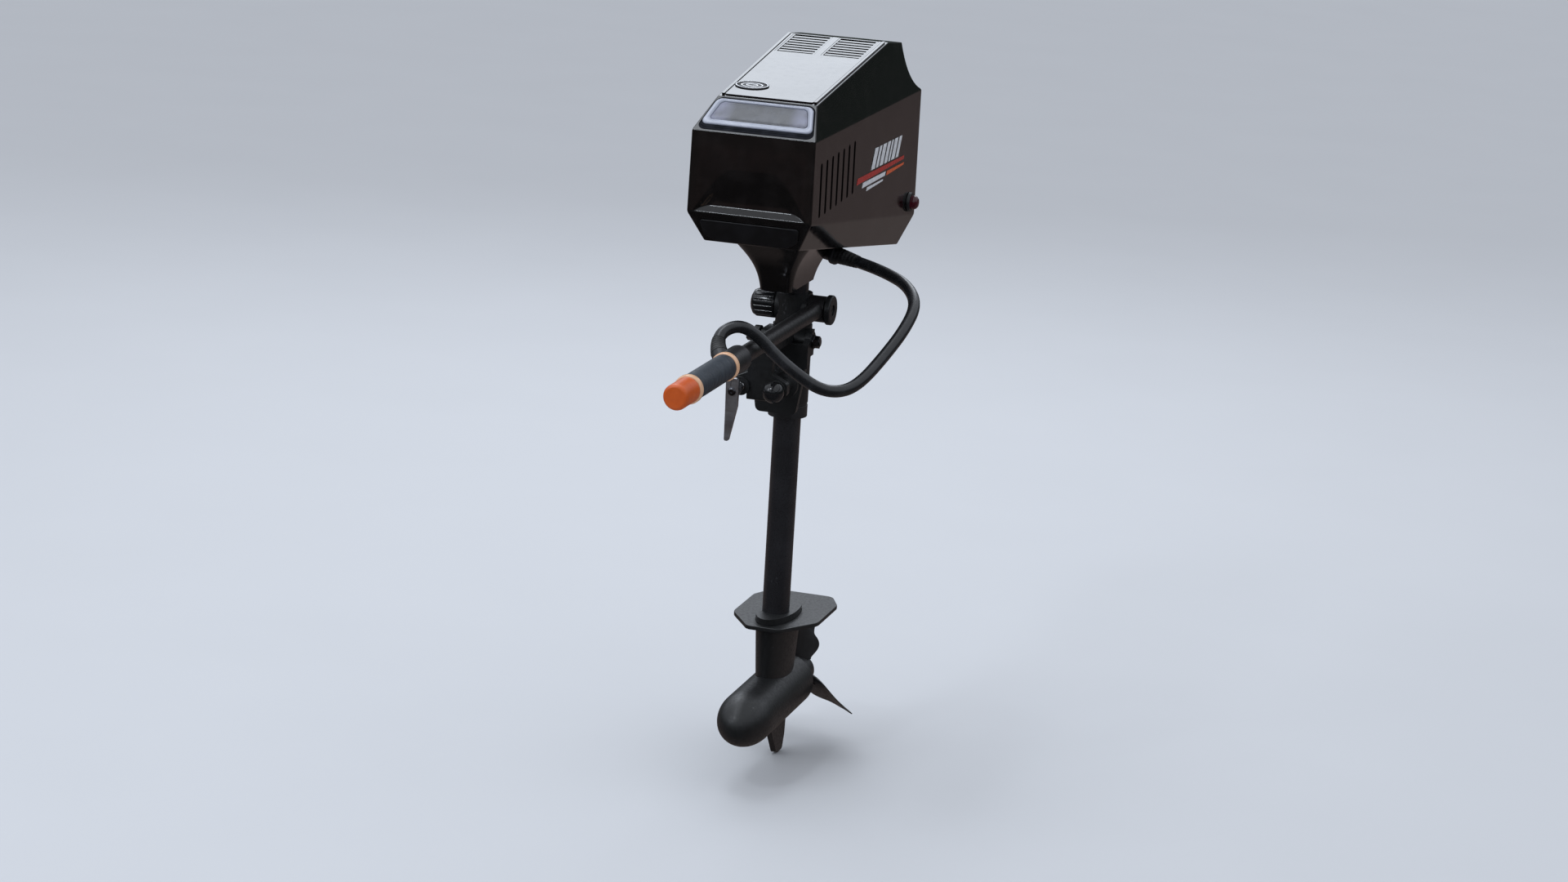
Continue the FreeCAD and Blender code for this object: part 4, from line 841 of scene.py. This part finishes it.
def film(bm, side, first, last, low, high, taper=1.0):
    """Add one slanted printed strip to a side of the head."""
    tall = high - low
    corners = [(first, low), (last, high - tall * taper), (last + FILM_SLANT * tall * taper, high),
               (first + FILM_SLANT * tall, high)]
    faces = []
    for lift in (FILM_GAP, FILM_THICK):
        faces.append([bm.verts.new((side * (side_half(y) + lift), y, z)) for y, z in corners])
    inner, outer = faces
    bm.faces.new(inner)
    bm.faces.new(outer)
    for i in range(4):
        j = (i + 1) % 4
        bm.faces.new((inner[i], inner[j], outer[j], outer[i]))


def side_films():
    """The printed strips, and a row of plain bars above them, on both sides of the head."""
    strips = {colour: list(spans) for colour, spans in FILMS.items()}
    start = BAR_START
    for width in BAR_WIDTHS:
        strips["white"].append((start, start + width, *BAR_Z))
        start += width + BAR_GAP
    for colour, spans in strips.items():
        bm = bmesh.new()
        for side in (-1, 1):
            for span in spans:
                film(bm, side, *span)
        placed(from_bmesh("film_" + colour, bm), "motor_unit", "film_" + colour)


# ---------------------------------------------------------------- control cable

def nurbs_line(points):
    """The points of a smooth NURBS curve through a route."""
    curve = bpy.data.curves.new("route", "CURVE")
    curve.dimensions = "3D"
    curve.resolution_u = 10
    spline = curve.splines.new("NURBS")
    spline.points.add(len(points) - 1)
    for point, place in zip(spline.points, points):
        point.co = (*place, 1.0)
    spline.order_u = 3
    spline.use_endpoint_u = True
    guide = mesh_object("route", curve)
    mesh = bpy.data.meshes.new_from_object(guide)
    line = [vert.co.copy() for vert in mesh.vertices]
    bpy.data.objects.remove(guide)
    bpy.data.meshes.remove(mesh)
    return line


def tube_along(name, line, radii, sides=32):
    """A round tube along a line, with a radius at each point and closed ends."""
    bm = bmesh.new()
    ahead = [(line[min(i + 1, len(line) - 1)] - line[max(i - 1, 0)]).normalized() for i in range(len(line))]
    across = ahead[0].orthogonal().normalized()
    rings = []
    for point, direction, radius in zip(line, ahead, radii):
        across = (across - direction * across.dot(direction)).normalized()
        other = direction.cross(across)
        ring = []
        for i in range(sides):
            angle = 2 * math.pi * i / sides
            ring.append(bm.verts.new(point + (across * math.cos(angle) + other * math.sin(angle)) * radius))
        rings.append(ring)
    for first, second in zip(rings, rings[1:]):
        for i in range(sides):
            j = (i + 1) % sides
            bm.faces.new((first[i], first[j], second[j], second[i]))
    bm.faces.new(rings[0])
    bm.faces.new(rings[-1])
    return from_bmesh(name, bm)


def strain_relief(name, line, body):
    """A tapered, ribbed boot round the end of the cable; the line starts at the wide end."""
    radii = []
    for i in range(len(line)):
        share = i / (len(line) - 1)
        groove = RELIEF_RIB if i % 4 == 3 else 0.0
        radii.append(CABLE_R + RELIEF_WALL - RELIEF_TAPER * share - groove)
    boot = smoothed(tube_along(name, line, radii), 60.0)
    return placed(boot, body, "rubber_black")


def part_of(line, length):
    """The first stretch of a line, of about that length, with points close together."""
    stretch = []
    for k in range(RELIEF_STEPS + 1):
        wanted = length * k / RELIEF_STEPS
        for start, end in zip(line, line[1:]):
            piece = (end - start).length
            if wanted <= piece:
                stretch.append(start.lerp(end, wanted / piece))
                break
            wanted -= piece
    return stretch


def control_cable():
    """The cable from the head's gland to the tiller's collar, with a boot at each end."""
    line = nurbs_line(CABLE_ROUTE)
    cable = smoothed(tube_along("cable_jacket", line, [CABLE_R] * len(line)), 60.0)
    placed(cable, None, "cable_black", "control_cable")
    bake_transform(cable)
    reliefs = [strain_relief("cable_boot_head", part_of(line, RELIEF_AT_HEAD), "motor_unit"),
               strain_relief("cable_boot_tiller", part_of(line[::-1], RELIEF_AT_TILLER), "tiller")]


# ---------------------------------------------------------------- lower unit and clamp

def gearcase_nose():
    """The smooth rounded nose of the pod."""
    line, radii = [], []
    for i in range(NOSE_STEPS + 1):
        angle = math.pi / 2 * i / NOSE_STEPS
        line.append(Vector((0.0, POD_FRONT_Y - NOSE_LENGTH * math.sin(angle), PROP_Z)))
        radii.append(max(POD_R * math.cos(angle), NOSE_TIP_R))
    nose = smoothed(tube_along("gearcase_nose_shape", line, radii, 96), 60.0)
    placed(nose, "motor_unit", "casting_black", "gearcase_nose")


def darken_screw(lever):
    """Give the screw in the paddle a black finish."""
    lever.data.materials.append(looks["bolt_black"])
    for face in lever.data.polygons:
        if face.center.y < PADDLE_FRONT_Y:
            face.material_index = 1


# ---------------------------------------------------------------- camera, light and stage

def point_camera():
    """The camera, where the motor is seen from its port bow quarter, a little from above."""
    camera = bpy.data.objects.new("camera", bpy.data.cameras.new("camera"))
    bpy.context.scene.collection.objects.link(camera)
    aim = (cad_low + cad_high) / 2 + CAMERA_AIM_OFFSET
    camera.location = CAMERA_AT
    camera.rotation_euler = (aim - CAMERA_AT).to_track_quat("-Z", "Y").to_euler()
    camera.rotation_euler.rotate_axis("Z", CAMERA_ROLL)
    camera.data.lens = CAMERA_LENS
    camera.data.sensor_width = SENSOR_WIDTH
    bpy.context.scene.camera = camera


def softbox(name, at, aim, size, radiance):
    """A cool rectangular light aimed at a point, as bright as its radiance says."""
    light = bpy.data.lights.new(name, "AREA")
    light.color = LIGHT_COLOUR
    light.shape = "RECTANGLE"
    light.size, light.size_y = size
    light.energy = radiance * math.pi * size[0] * size[1]
    lamp = bpy.data.objects.new(name, light)
    bpy.context.scene.collection.objects.link(lamp)
    lamp.location = at
    lamp.rotation_euler = (Vector(aim) - Vector(at)).to_track_quat("-Z", "Y").to_euler()


def spanned(tree, value, low, high):
    """A world socket mapped from low..high to 0..1."""
    span = tree.nodes.new("ShaderNodeMapRange")
    span.inputs["From Min"].default_value = low
    span.inputs["From Max"].default_value = high
    tree.links.new(value, span.inputs["Value"])
    return span.outputs["Result"]


def sky_ramp(tree, height, stops):
    """Colours from straight down to straight up."""
    ramp = tree.nodes.new("ShaderNodeValToRGB")
    tree.links.new(height, ramp.inputs["Fac"])
    while len(ramp.color_ramp.elements) < len(stops):
        ramp.color_ramp.elements.new(0.5)
    for element, (place, colour) in zip(ramp.color_ramp.elements, stops):
        element.position = place
        element.color = (*colour, 1.0)
    return ramp.outputs["Color"]


def lit_world():
    """A sky that is bright overhead and dark at the horizon, over ground that is brown aft and dark ahead."""
    world = bpy.data.worlds.new("world")
    bpy.context.scene.world = world
    world.use_nodes = True
    tree = world.node_tree
    split = tree.nodes.new("ShaderNodeSeparateXYZ")
    tree.links.new(tree.nodes.new("ShaderNodeTexCoord").outputs["Generated"], split.inputs["Vector"])
    height = spanned(tree, split.outputs["Z"], -1.0, 1.0)
    aft = sky_ramp(tree, height, GROUND_AFT + SKY)
    ahead = sky_ramp(tree, height, GROUND_AHEAD + SKY)
    mix = tree.nodes.new("ShaderNodeMix")
    mix.data_type = "RGBA"
    tree.links.new(spanned(tree, split.outputs["Y"], *WORLD_TURN), mix.inputs["Factor"])
    tree.links.new(ahead, mix.inputs[6])
    tree.links.new(aft, mix.inputs[7])
    tree.links.new(mix.outputs[2], tree.nodes["Background"].inputs["Color"])


def set_stage():
    """A pale floor under the skeg, and soft light."""
    bm = bmesh.new()
    bmesh.ops.create_grid(bm, x_segments=1, y_segments=1, size=FLOOR_HALF)
    floor = from_bmesh("floor", bm)
    floor.location.z = cad_low.z - FLOOR_GAP
    look = Look("floor_pale", roughness=0.8)
    look.colour(look.blended(look.noise(3, 2), (0.55, 0.56, 0.58), (0.57, 0.58, 0.60)))
    floor.data.materials.append(look.material)
    floor.visible_glossy = False
    for name, (at, aim, size, radiance) in SOFTBOXES.items():
        softbox(name, at, aim, size, radiance)
    lit_world()
    bpy.context.scene.view_settings.view_transform = "Standard"


# ---------------------------------------------------------------- assembly

for node, thing in nodes.items():
    thing.data.materials.clear()
    thing.data.materials.append(looks[slots[node]])

# how far each visible CAD shape's sharp edges are rounded
SOFT_EDGES = {
    "clamp_bracket": 0.0016, "swivel_bracket": 0.0012, "clamp_lever": 0.0008, "ball_knob": 0.0008,
    "cross_boss": 0.0010, "tension_knob": 0.0005, "pivot_cap": 0.0006, "depth_collar": 0.0006,
    "lower_cowl": 0.0012, "front_lower_panel": 0.0006, "top_panel": 0.0004, "roof_grilles": 0.0005,
    "tiller_arm": 0.0006, "tiller_collar": 0.0008,
    "grip_sleeve": 0.0005, "grip_rings": 0.0006, "grip_end_cap": 0.0010, "gearcase": 0.0015,
    "ventilation_plate": 0.0010, "propeller": 0.0004, "cable_gland": 0.0006, "button_bezel": 0.0004,
    "button_boot": 0.0002,
}

point_camera()
set_stage()
control_cable()
cowl_shell()
window()
side_films()
badge_print()
vent_shade_strips()
gearcase_nose()
for node in ("tilt_bolt", "tilt_nut_and_washers"):
    nodes[node].data.materials[0] = looks["bolt_black"]
shapes = {node: softened(node, width) for node, width in SOFT_EDGES.items()}
darken_screw(shapes["clamp_lever"])
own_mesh(shapes["button_boot"])
